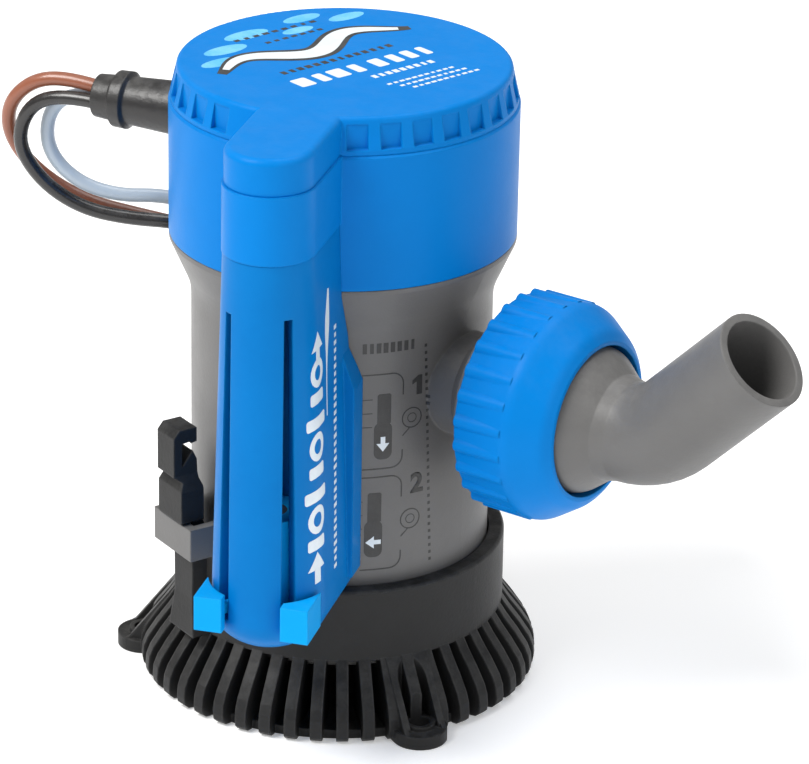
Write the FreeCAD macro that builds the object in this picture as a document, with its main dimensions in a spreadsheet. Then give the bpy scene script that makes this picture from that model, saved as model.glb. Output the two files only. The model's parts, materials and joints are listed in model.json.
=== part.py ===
import FreeCAD, Part
import math
import os
import re
import Sketcher
from FreeCAD import Placement, Rotation, Vector

# Automatic bilge pump with a magnetic float switch.  Millimetres, +Z up.  The origin is on the pump's
# upright axis at the underside of the strainer base, and +X is the axis of the outlet port.

SIZES = {
    # housing and cap
    "body_radius": 28.8, "body_wall": 2.6, "body_foot": 12.0, "flare_low": 80.0,
    "cap_radius": 33.0, "cap_low": 90.4, "lid_low": 116.7, "cap_top": 123.6, "cap_wall": 2.2,
    "seat_radius": 31.3, "seat_top": 97.0, "flange_radius": 28.9, "cap_groove": 93.4,
    "notch_low": 117.7, "notch_high": 122.3, "notch_half": 1.95,
    # strainer base
    "collar_radius": 32.1, "collar_bore": 29.15, "collar_low": 14.3, "collar_top": 28.9,
    "fin_radius": 38.8, "fin_width": 2.3, "fin_count": 48, "sole_radius": 36.0, "sole_top": 1.8,
    "ear_bolt_circle": 77.0, "ear_hole": 2.0, "ear_tip": 5.3, "ear_top": 2.6, "ear_width": 8.6,
    # outlet port, union nut and elbow
    "port_height": 65.8, "port_bore": 8.2, "spigot_start": 14.0, "neck_radius": 10.0,
    "flare_start": 32.6, "flare_end": 37.4,
    "neck_end": 39.8, "spigot_radius": 16.2, "spigot_end": 49.8, "thread_radius": 17.1,
    "thread_pitch": 3.0, "nut_bore": 17.5, "nut_low": 40.2,
    "nut_end": 58.5, "nut_radius": 20.1, "nut_shoulder": 51.5, "nut_mouth": 14.5, "rib_radius": 1.5,
    "rib_count": 26, "flange_low": 50.9, "flange_high": 53.2, "elbow_flange": 17.1, "elbow_dome": 14.0,
    "hose_radius": 9.525, "hose_bore": 8.0, "bend_radius": 14.0, "bend_start": 65.6, "hose_run": 24.3,
    # float switch column, measured along its own outward axis
    "nose_centre": 47.6, "nose_radius": 8.5, "nose_foot_radius": 10.8, "nose_foot_centre": 46.4,
    "column_low": 33.0, "column_top": 103.7, "dome_depth": 7.6, "cavity_radius": 6.9,
    "slot_low": 33.0, "slot_high": 93.3, "float_radius": 6.4, "float_low": 33.4, "float_height": 19.0,
    "wing_width": 23.4, "wing_low": 33.0, "wing_high": 71.3, "wing_reach": 32.0,
    # latch arms
    "loop_low": 32.0, "loop_high": 38.5, "loop_outer": 37.8, "loop_width": 13.3, "loop_wall": 1.8,
    "arm_inner": 32.2, "arm_outer": 35.4, "arm_waist": 22.0, "latch_pivot": 15.4, "hook_high": 45.6,
    "lever_low": 48.4, "lever_top": 57.8, "lever_inner": 34.2, "latch_depth": 12.0,
    # motor
    "canister_radius": 21.6, "canister_low": 27.0, "canister_top": 93.4, "canister_groove": 91.0,
    "canister_wall": 1.9, "can_radius": 18.9,
    "can_low": 31.0, "can_high": 80.0, "can_wall": 1.1, "shaft_radius": 1.59, "bush_radius": 4.0,
    "bush_bore": 1.63, "magnet_inner": 14.7, "core_radius": 13.9, "core_low": 38.0, "core_high": 66.0,
    "slot_count": 5, "slot_circle": 9.0, "winding_radius": 12.6, "winding_reach": 3.6,
    "commutator_radius": 5.2, "commutator_low": 71.0, "commutator_top": 78.4, "impeller_radius": 14.6,
    "impeller_low": 16.2, "impeller_top": 25.2, "vane_count": 6, "card_low": 69.9, "board_low": 101.0,
    "board_top": 102.6, "board_radius": 26.4, "board_bore": 14.0, "post_circle": 24.0, "post_radius": 2.0,
    "transistor_face": 21.4, "transistor_depth": 4.4, "transistor_width": 10.0,
    "reed_axis": 37.2, "magnet_seat": 3.4,
    # cable boot and leads
    "boot_height": 108.6, "boot_radius": 5.3, "boot_end": 51.5, "lead_diameter": 2.8,
    "coil_radius": 16.8, "coil_ring": 5.3, "coil_low": 0.7, "coil_top": 17.8,
}

COLUMN_ANGLE = -70.0
BOOT_ANGLE = -168.0
LATCH_ANGLES = {"latch_front": -111.0, "latch_rear": 69.0}
FIRST_EAR_ANGLE = 90.0
SLOT_ANGLE = 38.0
FIRST_NOTCH_ANGLE = 20.2
NOTCH_PITCH = 11.1
NOTCH_COUNT = 29

doc = FreeCAD.newDocument("bilge_pump")
sheet = doc.addObject("Spreadsheet::Sheet", "Sizes")
for line, (alias, value) in enumerate(SIZES.items(), start=1):
    sheet.set(f"A{line}", alias)
    sheet.set(f"B{line}", str(value))
    sheet.setAlias(f"B{line}", alias)
doc.recompute()

nodes = []


def size(alias):
    """Return one driving dimension in millimetres."""
    return float(sheet.get(alias))


def bound(words):
    """Turn an expression in plain size names into one that reads the sheet."""
    return re.sub(r"[a-z][a-z_]+", lambda name: "Sizes." + name.group(0), words)


def bind(thing, **properties):
    """Bind properties of a document object to sizes on the sheet."""
    for name, words in properties.items():
        thing.setExpression(name, bound(str(words)))
    return thing


def place(thing, x="0", y="0", z="0"):
    """Bind the position of a document object to sizes on the sheet."""
    for axis, words in (("x", x), ("y", y), ("z", z)):
        thing.setExpression(f"Placement.Base.{axis}", bound(words))
    return thing


def carried(name, thing, degrees):
    """A turned copy of a solid whose own position is bound to the sheet."""
    copy = doc.addObject("Part::Compound", name)
    copy.Links = [thing]
    return turn_about_z(copy, degrees)


def turn_about_z(thing, degrees):
    """Turn a finished object about the pump's upright axis."""
    thing.Placement = Placement(Vector(), Rotation(Vector(0, 0, 1), degrees)).multiply(thing.Placement)
    return thing


def keep(thing):
    """Mark a document object as one finished piece."""
    nodes.append(thing)
    return thing


# ---------------------------------------------------------------- primitives

def rod(name, radius, low, high, x="0", y="0"):
    """An upright cylinder between two heights."""
    solid = doc.addObject("Part::Cylinder", name)
    bind(solid, Radius=radius, Height=f"({high}) - ({low})")
    return place(solid, x, y, low)


def port_rod(name, radius, low, high):
    """A cylinder along the outlet port's axis between two distances from the pump axis."""
    solid = doc.addObject("Part::Cylinder", name)
    bind(solid, Radius=radius, Height=f"({high}) - ({low})")
    solid.Placement = Placement(Vector(), Rotation(Vector(0, 1, 0), 90))
    return place(solid, low, "0", "port_height")


def block(name, low, high):
    """A box between two corners given as size expressions."""
    solid = doc.addObject("Part::Box", name)
    for prop, start, end in zip(("Length", "Width", "Height"), low, high):
        bind(solid, **{prop: f"({end}) - ({start})"})
    return place(solid, *low)


def fuse(name, *parts):
    """Join solids into one."""
    union = doc.addObject("Part::MultiFuse", name)
    union.Shapes = list(parts)
    union.Refine = True
    return union


def cut(name, base, *tools):
    """Cut tools out of a base."""
    result = doc.addObject("Part::Cut", name)
    result.Base = base
    result.Tool = tools[0] if len(tools) == 1 else fuse(name + "_tools", *tools)
    return result


def ring(name, outer, inner, low, high):
    """An upright tube."""
    wall = rod(name + "_wall", outer, low, high)
    bore = rod(name + "_bore", inner, f"({low}) - 1", f"({high}) + 1")
    return cut(name, wall, bore)


def hoop(name, radius, section, height):
    """A round seal lying flat about the pump axis."""
    seal = doc.addObject("Part::Torus", name)
    bind(seal, Radius1=radius, Radius2=section)
    return place(seal, z=height)


# ---------------------------------------------------------------- bodies

def new_body(name):
    """An empty PartDesign body."""
    return doc.addObject("PartDesign::Body", name)


def sketch_on(body, name, role):
    """A sketch on one of the body's own origin planes."""
    sketch = body.newObject("Sketcher::SketchObject", name)
    plane = next(item for item in body.Origin.OriginFeatures if item.Role == role)
    sketch.AttachmentSupport = [(plane, "")]
    sketch.MapMode = "FlatFace"
    return sketch


def pin(sketch, edge, end, across, up):
    """Fix one end of a sketch edge at two bound coordinates."""
    for kind, words in (("DistanceX", across), ("DistanceY", up)):
        index = sketch.addConstraint(Sketcher.Constraint(kind, -1, 1, edge, end, 5.0))
        sketch.setExpression(f"Constraints[{index}]", bound(words))


def outline(body, name, role, corners):
    """A closed polygon sketch whose corners are bound to the sheet."""
    sketch = sketch_on(body, name, role)
    count = len(corners)
    start = []
    for index in range(count):
        angle = 2 * math.pi * index / count
        start.append(Vector(20 + 9 * math.cos(angle), 20 + 9 * math.sin(angle), 0))
    for index in range(count):
        sketch.addGeometry(Part.LineSegment(start[index], start[(index + 1) % count]), False)
    for index in range(count):
        sketch.addConstraint(Sketcher.Constraint("Coincident", index, 2, (index + 1) % count, 1))
    for index, (across, up) in enumerate(corners):
        pin(sketch, index, 1, across, up)
    return sketch


def revolve(body, name, corners, axis="V_Axis"):
    """Turn a polygon of the upright plane about the pump axis or the port axis."""
    sketch = outline(body, name + "_outline", "XZ_Plane", corners)
    spin = body.newObject("PartDesign::Revolution", name)
    spin.Profile = sketch
    spin.ReferenceAxis = (sketch, [axis])
    spin.Angle = 360
    return spin


def round_edges(body, feature, name, wanted, radius):
    """Fillet the edges of a feature that a test picks."""
    doc.recompute()
    edges = [f"Edge{i}" for i, edge in enumerate(feature.Shape.Edges, start=1) if wanted(edge)]
    if not edges:
        raise RuntimeError(f"{name} finds no edge")
    fillet = body.newObject("PartDesign::Fillet", name)
    fillet.Base = (feature, edges)
    fillet.Radius = radius
    body.Tip = fillet
    return fillet


def is_circle(edge, radius):
    """True for a full circle of one radius."""
    return isinstance(edge.Curve, Part.Circle) and abs(edge.Curve.Radius - radius) < 0.02


def pad(body, name, role, corners, length, symmetric=False):
    """Pad a polygon by a bound length."""
    sketch = outline(body, name + "_outline", role, corners)
    feature = body.newObject("PartDesign::Pad", name)
    feature.Profile = sketch
    if symmetric:
        feature.SideType = "Symmetric" if hasattr(feature, "SideType") else 0
    bind(feature, Length=length)
    return feature


def pattern(body, features, name, role_axis, count):
    """Repeat features evenly about an origin axis of the body."""
    polar = body.newObject("PartDesign::PolarPattern", name)
    polar.Originals = features
    axis = next(item for item in body.Origin.OriginFeatures if item.Role == role_axis)
    polar.Axis = (axis, [""])
    polar.Angle = 360
    bind(polar, Occurrences=count)
    body.Tip = polar
    return polar


# ---------------------------------------------------------------- strainer base

def strainer_base():
    """Collar, sole and ring of strainer fins, with three screw ears."""
    body = new_body("strainer_shell")
    revolve(body, "collar", [("collar_bore", "collar_low"), ("collar_radius", "collar_low"),
                             ("collar_radius", "collar_top - 0.5"), ("collar_radius - 0.4", "collar_top"),
                             ("collar_bore", "collar_top")])
    revolve(body, "sole", [("0", "0"), ("sole_radius", "0"), ("sole_radius", "sole_top"), ("0", "sole_top")])
    fin = pad(body, "fin", "XZ_Plane", [
        ("collar_bore - 2.6", "sole_top - 1"), ("fin_radius - 2.4", "0"), ("fin_radius - 1.1", "0.25"),
        ("fin_radius - 0.2", "1.1"), ("fin_radius", "2.4"), ("fin_radius - 0.2", "4.6"),
        ("fin_radius - 1.0", "6.6"), ("fin_radius - 3.0", "9.6"), ("collar_radius + 1.4", "12.6"),
        ("collar_radius - 0.2", "collar_low + 0.7"), ("collar_bore + 0.4", "collar_low + 0.7"),
        ("collar_bore + 0.4", "body_foot - 0.2"), ("collar_bore - 2.6", "body_foot - 0.2")],
        "fin_width", symmetric=True)
    pattern(body, [fin], "fins", "Z_Axis", "fin_count")

    middle = "ear_bolt_circle / 2"
    tip = rod("ear_tip_round", "ear_tip", "0", "ear_top", x=middle)
    tongue = block("ear_tongue", ("sole_radius - 3", "-ear_tip", "0"), (middle, "ear_tip", "ear_top"))
    ramp_body = new_body("ear_ramp")
    pad(ramp_body, "ramp", "XZ_Plane", [
        ("collar_bore + 0.6", "0"), ("ear_bolt_circle / 2 + 3.2", "0"),
        ("ear_bolt_circle / 2 + 3.2", "ear_top"),
        ("ear_bolt_circle / 2 + 2.4", "ear_top + 0.5"), ("collar_radius - 0.1", "collar_low + 0.3"),
        ("collar_bore + 0.6", "collar_low + 0.3")], "ear_width", symmetric=True)
    pocket = block("ear_pocket", ("ear_bolt_circle / 2 - 3.4", "-2.9", "ear_top + 0.2"),
                   ("ear_bolt_circle / 2 + 9", "2.9", "collar_low"))
    arch = rod("ear_pocket_arch", "2.9", "ear_top + 0.2", "collar_low", x="ear_bolt_circle / 2 - 3.4")
    lip = rod("ear_lip", "ear_hole + 1.0", "0", "ear_top + 0.9", x=middle)
    front = block("ear_front", ("ear_bolt_circle / 2 + 2.2", "-3.4", "ear_top"),
                  ("ear_bolt_circle / 2 + 9", "3.4", "collar_low"))
    recess = fuse("ear_recess", pocket, arch, front)
    lump = fuse("ear_lump", cut("ear_slope", fuse("ear_solid", tip, tongue, ramp_body), recess), lip)
    hole = rod("ear_screw_hole", "ear_hole", "-1", "collar_low", x=middle)
    ear = cut("ear", lump, hole)
    ears = []
    for index in range(3):
        ears.append(carried(f"ear_place_{index}", ear, FIRST_EAR_ANGLE + 120 * index))
    base = fuse("strainer_joined", body, *ears)
    notches = []
    for index, angle in enumerate(LATCH_ANGLES.values()):
        notch = block(f"latch_notch_{index}", ("collar_bore - 1", "-4.7", "latch_pivot"),
                      ("collar_radius + 3", "4.7", "collar_top + 1"))
        notches.append(carried(f"latch_notch_place_{index}", notch, angle))
    screw_holes = []
    for index in range(3):
        bore = rod(f"screw_bore_{index}", "ear_hole", "-1", "collar_low", x=middle)
        screw_holes.append(carried(f"screw_bore_place_{index}", bore, FIRST_EAR_ANGLE + 120 * index))
    keep(cut("strainer_base", base, *notches, *screw_holes))


def latch(name, angle):
    """A springy arm of the base with a hook over the housing's loop and a finger lever on top."""
    side = new_body(name + "_side")
    pad(side, name + "_profile", "XZ_Plane", [
        ("arm_inner", "latch_pivot - 0.9"), ("arm_outer + 0.6", "latch_pivot - 0.9"),
        ("arm_outer", "arm_waist"),
        ("arm_outer", "loop_high + 0.3"), ("loop_outer + 0.5", "loop_high + 0.3"),
        ("loop_outer + 0.5", "hook_high"), ("loop_outer - 0.2", "hook_high + 1.6"),
        ("loop_outer + 1.4", "lever_low"), ("loop_outer + 1.4", "lever_top - 1.4"),
        ("loop_outer + 0.2", "lever_top"), ("lever_inner", "lever_top"), ("lever_inner", "lever_top - 2.8"),
        ("lever_inner + 1.6", "lever_top - 3.1"), ("lever_inner", "lever_top - 6.4"),
        ("lever_inner - 0.2", "lever_low - 0.8"), ("arm_inner + 1.2", "hook_high + 0.4"),
        ("arm_inner + 1.2", "loop_high + 0.6"), ("arm_inner", "loop_high - 2")], "latch_depth", symmetric=True)
    window = new_body(name + "_window")
    pad(window, name + "_window_cut", "XZ_Plane", [
        ("lever_inner + 3.2", "lever_low + 1.8"), ("lever_inner + 3.2", "lever_top - 2.8"),
        ("lever_inner + 1.4", "lever_top - 2.6"), ("lever_inner + 0.7", "lever_low + 5")], "latch_depth + 2",
        symmetric=True)
    front = new_body(name + "_front")
    pad(front, name + "_face", "YZ_Plane", [
        ("-4.4", "latch_pivot - 0.9"), ("4.4", "latch_pivot - 0.9"),
        ("3.2", "arm_waist"), ("3.4", "loop_high"),
        ("4.2", "loop_high + 0.6"), ("4.2", "hook_high - 0.2"), ("3.0", "lever_low + 0.2"),
        ("3.0", "lever_top"), ("-3.0", "lever_top"), ("-3.0", "lever_low + 0.2"), ("-4.2", "hook_high - 0.2"),
        ("-4.2", "loop_high + 0.6"), ("-3.4", "loop_high"), ("-3.2", "arm_waist")], "60")
    common = doc.addObject("Part::Common", name + "_bar")
    common.Base = side
    common.Tool = front
    piece = cut(name, common, window)
    keep(turn_about_z(piece, angle))


# ---------------------------------------------------------------- housing

def pump_housing():
    """Outer housing with its outlet neck, threaded spigot and two latch loops."""
    shell = new_body("housing_shell")
    inner = "body_radius - body_wall"
    spin = revolve(shell, "housing_wall", [
        (inner, "body_foot"), ("body_radius", "body_foot"), ("body_radius", "flare_low"),
        ("cap_radius", "cap_low - 0.9"), ("cap_radius", "cap_low"), ("seat_radius", "cap_low"),
        ("seat_radius", "cap_groove"), ("seat_radius - 1.2", "cap_groove"),
        ("seat_radius - 1.2", "cap_groove + 1.6"), ("seat_radius", "cap_groove + 1.6"),
        ("seat_radius", "seat_top"), ("flange_radius + 0.1", "seat_top"),
        ("flange_radius + 0.1", "cap_low"), (inner, "flare_low + 5")])
    round_edges(shell, spin, "housing_flare",
                lambda e: is_circle(e, size("body_radius")) and e.Curve.Center.z > 70, 12.0)
    spigot = new_body("outlet_spigot")
    revolve(spigot, "spigot_turn", [
        ("spigot_start", "0"), ("spigot_start", "neck_radius"),
        ("flare_start", "neck_radius"), ("flare_end", "spigot_radius"),
        ("spigot_end", "spigot_radius"), ("spigot_end", "0")], axis="H_Axis")
    place(spigot, z="port_height")
    threads = []
    for index in range(3):
        start = f"neck_end + 1.2 + {index} * thread_pitch"
        threads.append(port_rod(f"outlet_thread_{index}", "thread_radius", start, f"{start} + 1.2"))
    loops = []
    for index, angle in enumerate(LATCH_ANGLES.values()):
        outer = block(f"loop_outer_{index}", ("body_radius - 1", "-loop_width / 2", "loop_low"),
                      ("loop_outer", "loop_width / 2", "loop_high"))
        gap = block(f"loop_gap_{index}", ("body_radius - 2", "loop_wall - loop_width / 2", "loop_low - 1"),
                    ("loop_outer - loop_wall", "loop_width / 2 - loop_wall", "loop_high + 1"))
        loops.append(turn_about_z(cut(f"loop_{index}", outer, gap), angle))
    solid = fuse("housing_solid", shell, spigot, *threads, *loops)
    inside = rod("housing_inside", inner, "body_foot - 1", "flare_low + 5")
    bore = port_rod("outlet_bore", "port_bore", "10", "spigot_end + 5")
    groove = cut("outlet_seal_groove", port_rod("groove_wide", "12.8", "spigot_end - 1.1", "spigot_end + 1"),
                 port_rod("groove_core", "10.4", "spigot_end - 2", "spigot_end + 2"))
    keep(cut("pump_housing", solid, inside, bore, groove))


def housing_details():
    """Inlet plate and the round seals of the housing."""
    plate = new_body("inlet_plate")
    revolve(plate, "inlet_plate_disc", [
        ("7.5", "body_foot"), ("body_radius - body_wall - 0.05", "body_foot"),
        ("body_radius - body_wall - 0.05", "body_foot + 3.4"),
        ("body_radius - body_wall - 1.6", "body_foot + 3.4"),
        ("body_radius - body_wall - 1.6", "body_foot + 1.8"), ("9.5", "body_foot + 1.8"),
        ("7.5", "body_foot + 3.0")])
    keep(plate)
    keep(hoop("cap_seal", "seat_radius - 0.6", "0.58", "cap_groove + 0.8"))
    keep(hoop("canister_seal", "flange_radius - 0.85", "0.8", "canister_groove + 0.9"))
    seal = doc.addObject("Part::Torus", "outlet_seal")
    bind(seal, Radius1="11.6", Radius2="0.95")
    seal.Placement = Placement(Vector(), Rotation(Vector(0, 1, 0), 90))
    keep(place(seal, "spigot_end - 0.15", "0", "port_height"))


# ---------------------------------------------------------------- outlet

def union_nut():
    """Ribbed union nut with a domed front."""
    body = new_body("union_nut")
    spin = revolve(body, "nut_wall", [
        ("nut_low", "nut_bore"), ("nut_low", "nut_radius"), ("nut_shoulder", "nut_radius + 0.8"),
        ("nut_end - 1.2", "nut_mouth + 2.6"), ("nut_end", "nut_mouth + 0.8"), ("nut_end", "nut_mouth"),
        ("flange_high + 0.4", "nut_mouth"), ("flange_high + 0.4", "nut_bore")], axis="H_Axis")
    round_edges(body, spin, "nut_dome",
                lambda e: is_circle(e, size("nut_radius") + 0.8) or is_circle(e, size("nut_mouth") + 2.6), 4.0)
    sketch = sketch_on(body, "rib_outline", "YZ_Plane")
    bind(sketch, **{"AttachmentOffset.Base.z": "nut_low + 0.3"})
    circle = sketch.addGeometry(Part.Circle(Vector(0, 19, 0), Vector(0, 0, 1), 1.5), False)
    sketch.addConstraint(Sketcher.Constraint("PointOnObject", circle, 3, -2))
    index = sketch.addConstraint(Sketcher.Constraint("DistanceY", -1, 1, circle, 3, 19.0))
    sketch.setExpression(f"Constraints[{index}]", bound("nut_radius - 0.55"))
    index = sketch.addConstraint(Sketcher.Constraint("Radius", circle, 1.5))
    sketch.setExpression(f"Constraints[{index}]", bound("rib_radius"))
    rib = body.newObject("PartDesign::Pad", "rib")
    rib.Profile = sketch
    bind(rib, Length="nut_shoulder - nut_low - 1.2")
    pattern(body, [rib], "ribs", "X_Axis", "rib_count")
    keep(place(body, z="port_height"))


def outlet_elbow():
    """Flanged elbow: dome, neck, 45 degree bend and hose spigot."""
    shell = new_body("elbow_shell")
    spin = revolve(shell, "elbow_flange_wall", [
        ("flange_low", "0"), ("flange_low", "elbow_flange"), ("flange_high", "elbow_flange"),
        ("flange_high", "elbow_dome"), ("nut_end - 0.6", "elbow_dome"),
        ("bend_start - 2.6", "hose_radius + 0.6"),
        ("bend_start", "hose_radius"), ("bend_start", "0")], axis="H_Axis")
    round_edges(shell, spin, "elbow_dome_round",
                lambda e: is_circle(e, size("elbow_dome")) and e.Curve.Center.x > size("flange_high") + 1, 4.5)
    place(shell, z="port_height")

    def bend(name, radius):
        """The curved stretch of the elbow as part of a torus."""
        torus = doc.addObject("Part::Torus", name)
        bind(torus, Radius1="bend_radius", Radius2=radius, Angle3="45")
        torus.Placement = Placement(Vector(),
            Rotation(Vector(0, 0, -1), Vector(1, 0, 0), Vector(0, -1, 0), "ZXY"))
        return place(torus, "bend_start", "0", "port_height + bend_radius")

    def run(name, radius, extra):
        """The straight stretch of the elbow that the hose pushes onto."""
        tube = doc.addObject("Part::Cylinder", name)
        bind(tube, Radius=radius, Height=f"hose_run + {extra}")
        tube.Placement = Placement(Vector(), Rotation(Vector(0, 1, 0), 45))
        half = math.sqrt(0.5)
        return place(tube, f"bend_start + bend_radius * {half}", "0",
                     f"port_height + bend_radius * (1 - {half})")

    outer = fuse("elbow_outer", shell, bend("elbow_bend", "hose_radius"), run("elbow_run", "hose_radius", "0"))
    way = fuse("elbow_way", port_rod("elbow_mouth", "hose_bore", "flange_low - 1", "bend_start"),
               bend("elbow_bend_bore", "hose_bore"), run("elbow_run_bore", "hose_bore", "2"))
    keep(cut("outlet_elbow", outer, way))


# ---------------------------------------------------------------- cap

def lobe(name, radius, low, high, back="26"):
    """A rounded lobe that reaches from the pump's middle to the switch column."""
    bar = block(name + "_bar", (back, f"-({radius})", low), ("nose_centre", radius, high))
    nose = rod(name + "_nose", radius, low, high, x="nose_centre")
    return fuse(name, bar, nose)


def cap():
    """Cap shroud, lid and the cable boot's hole."""
    wall = new_body("cap_wall_ring")
    revolve(wall, "cap_wall_turn", [
        ("seat_radius + 0.1", "cap_low + 0.1"), ("cap_radius", "cap_low + 0.1"),
        ("cap_radius", "lid_low - 0.5"),
        ("cap_radius - 0.5", "lid_low"), ("cap_radius - cap_wall", "lid_low"),
        ("cap_radius - cap_wall", "seat_top + 0.4"), ("seat_radius + 0.1", "seat_top + 0.4")])
    outside = fuse("cap_outside", wall, lobe("cap_lobe", "nose_radius + 0.15", "column_top", "lid_low"))
    room = rod("cap_room", "cap_radius - cap_wall", "seat_top + 0.4", "lid_low + 1")
    lobe_room = lobe("cap_lobe_room", "nose_radius - 1.55", "column_top - 1", "lid_low + 1")
    boot_hole = doc.addObject("Part::Cylinder", "boot_hole")
    bind(boot_hole, Radius="boot_radius - 0.6", Height="40")
    boot_hole.Placement = Placement(Vector(), Rotation(Vector(0, 1, 0), 90))
    turn_about_z(boot_hole, BOOT_ANGLE - COLUMN_ANGLE)
    place(boot_hole, z="boot_height")
    keep(turn_about_z(cut("cap_shroud", outside, room, lobe_room, boot_hole), COLUMN_ANGLE))

    disc = new_body("lid_disc")
    spin = revolve(disc, "lid_turn", [
        ("0", "cap_top - 2.4"), ("cap_radius - 3.2", "cap_top - 2.4"), ("cap_radius - 3.2", "lid_low - 1.6"),
        ("cap_radius - cap_wall - 0.1", "lid_low - 1.6"), ("cap_radius - cap_wall - 0.1", "lid_low"),
        ("cap_radius - 0.35", "lid_low"), ("cap_radius - 0.35", "lid_low + 0.9"),
        ("cap_radius - 1.7", "cap_top"), ("0", "cap_top")])
    round_edges(disc, spin, "lid_edge", lambda e: is_circle(e, size("cap_radius") - 1.7), 0.9)
    tongue_top = lobe("lid_lobe_top", "nose_radius - 0.25", "lid_low", "cap_top", back="20")
    rounded = doc.addObject("Part::Fillet", "lid_lobe_round")
    rounded.Base = tongue_top
    doc.recompute()
    top = size("cap_top")
    rims = []
    for number, edge in enumerate(tongue_top.Shape.Edges, start=1):
        heights = [vertex.Point.z for vertex in edge.Vertexes]
        far = max(vertex.Point.x for vertex in edge.Vertexes)
        if min(heights) > top - 0.01 and far > 21:
            rims.append((number, 1.3, 1.3))
    rounded.Edges = rims
    hollow = lobe("lid_lobe_room", "nose_radius - 1.9", "lid_low - 1", "cap_top - 2.4", back="10")
    under = rod("lid_room", "cap_radius - 3.2", "lid_low - 2", "cap_top - 2.4")
    notches = []
    for index in range(NOTCH_COUNT):
        tooth = block(f"lid_notch_{index}", ("cap_radius - 1.55", "-notch_half", "notch_low"),
                      ("cap_radius + 1", "notch_half", "notch_high"))
        notches.append(carried(f"lid_notch_place_{index}", tooth, FIRST_NOTCH_ANGLE + index * NOTCH_PITCH))
    lid = cut("cap_lid", fuse("lid_solid", disc, rounded), under, hollow, *notches)
    keep(turn_about_z(lid, COLUMN_ANGLE))


# ---------------------------------------------------------------- float switch

def nose_sketch(body, name, height, centre, radius, margin=0):
    """Section of the column at one height: a half round nose with straight sides."""
    sketch = sketch_on(body, name, "XY_Plane")
    bind(sketch, **{"AttachmentOffset.Base.z": height})
    middle, reach, back = size(centre), size(radius) + margin, 24.0
    arc = Part.ArcOfCircle(Part.Circle(Vector(middle, 0, 0), Vector(0, 0, 1), reach), -math.pi / 2, math.pi / 2)
    sketch.addGeometry(arc, False)
    corners = [Vector(middle, reach, 0), Vector(back, reach, 0), Vector(back, -reach, 0),
        Vector(middle, -reach, 0)]
    for start, end in zip(corners, corners[1:]):
        sketch.addGeometry(Part.LineSegment(start, end), False)
    sketch.addConstraint(Sketcher.Constraint("Coincident", 1, 2, 2, 1))
    sketch.addConstraint(Sketcher.Constraint("Coincident", 2, 2, 3, 1))
    sketch.addConstraint(Sketcher.Constraint("Tangent", 0, 2, 1, 1))
    sketch.addConstraint(Sketcher.Constraint("Tangent", 3, 2, 0, 1))
    sketch.addConstraint(Sketcher.Constraint("Horizontal", 1))
    sketch.addConstraint(Sketcher.Constraint("Horizontal", 3))
    sketch.addConstraint(Sketcher.Constraint("Vertical", 2))
    sketch.addConstraint(Sketcher.Constraint("PointOnObject", 0, 3, -1))
    for kind, edge, end, value, words in (("DistanceX", 0, 3, middle, centre), ("DistanceX", 2, 1, back, "24")):
        index = sketch.addConstraint(Sketcher.Constraint(kind, -1, 1, edge, end, value))
        sketch.setExpression(f"Constraints[{index}]", bound(words))
    index = sketch.addConstraint(Sketcher.Constraint("Radius", 0, reach))
    sketch.setExpression(f"Constraints[{index}]", bound(f"{radius} + {margin}"))
    return sketch


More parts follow.
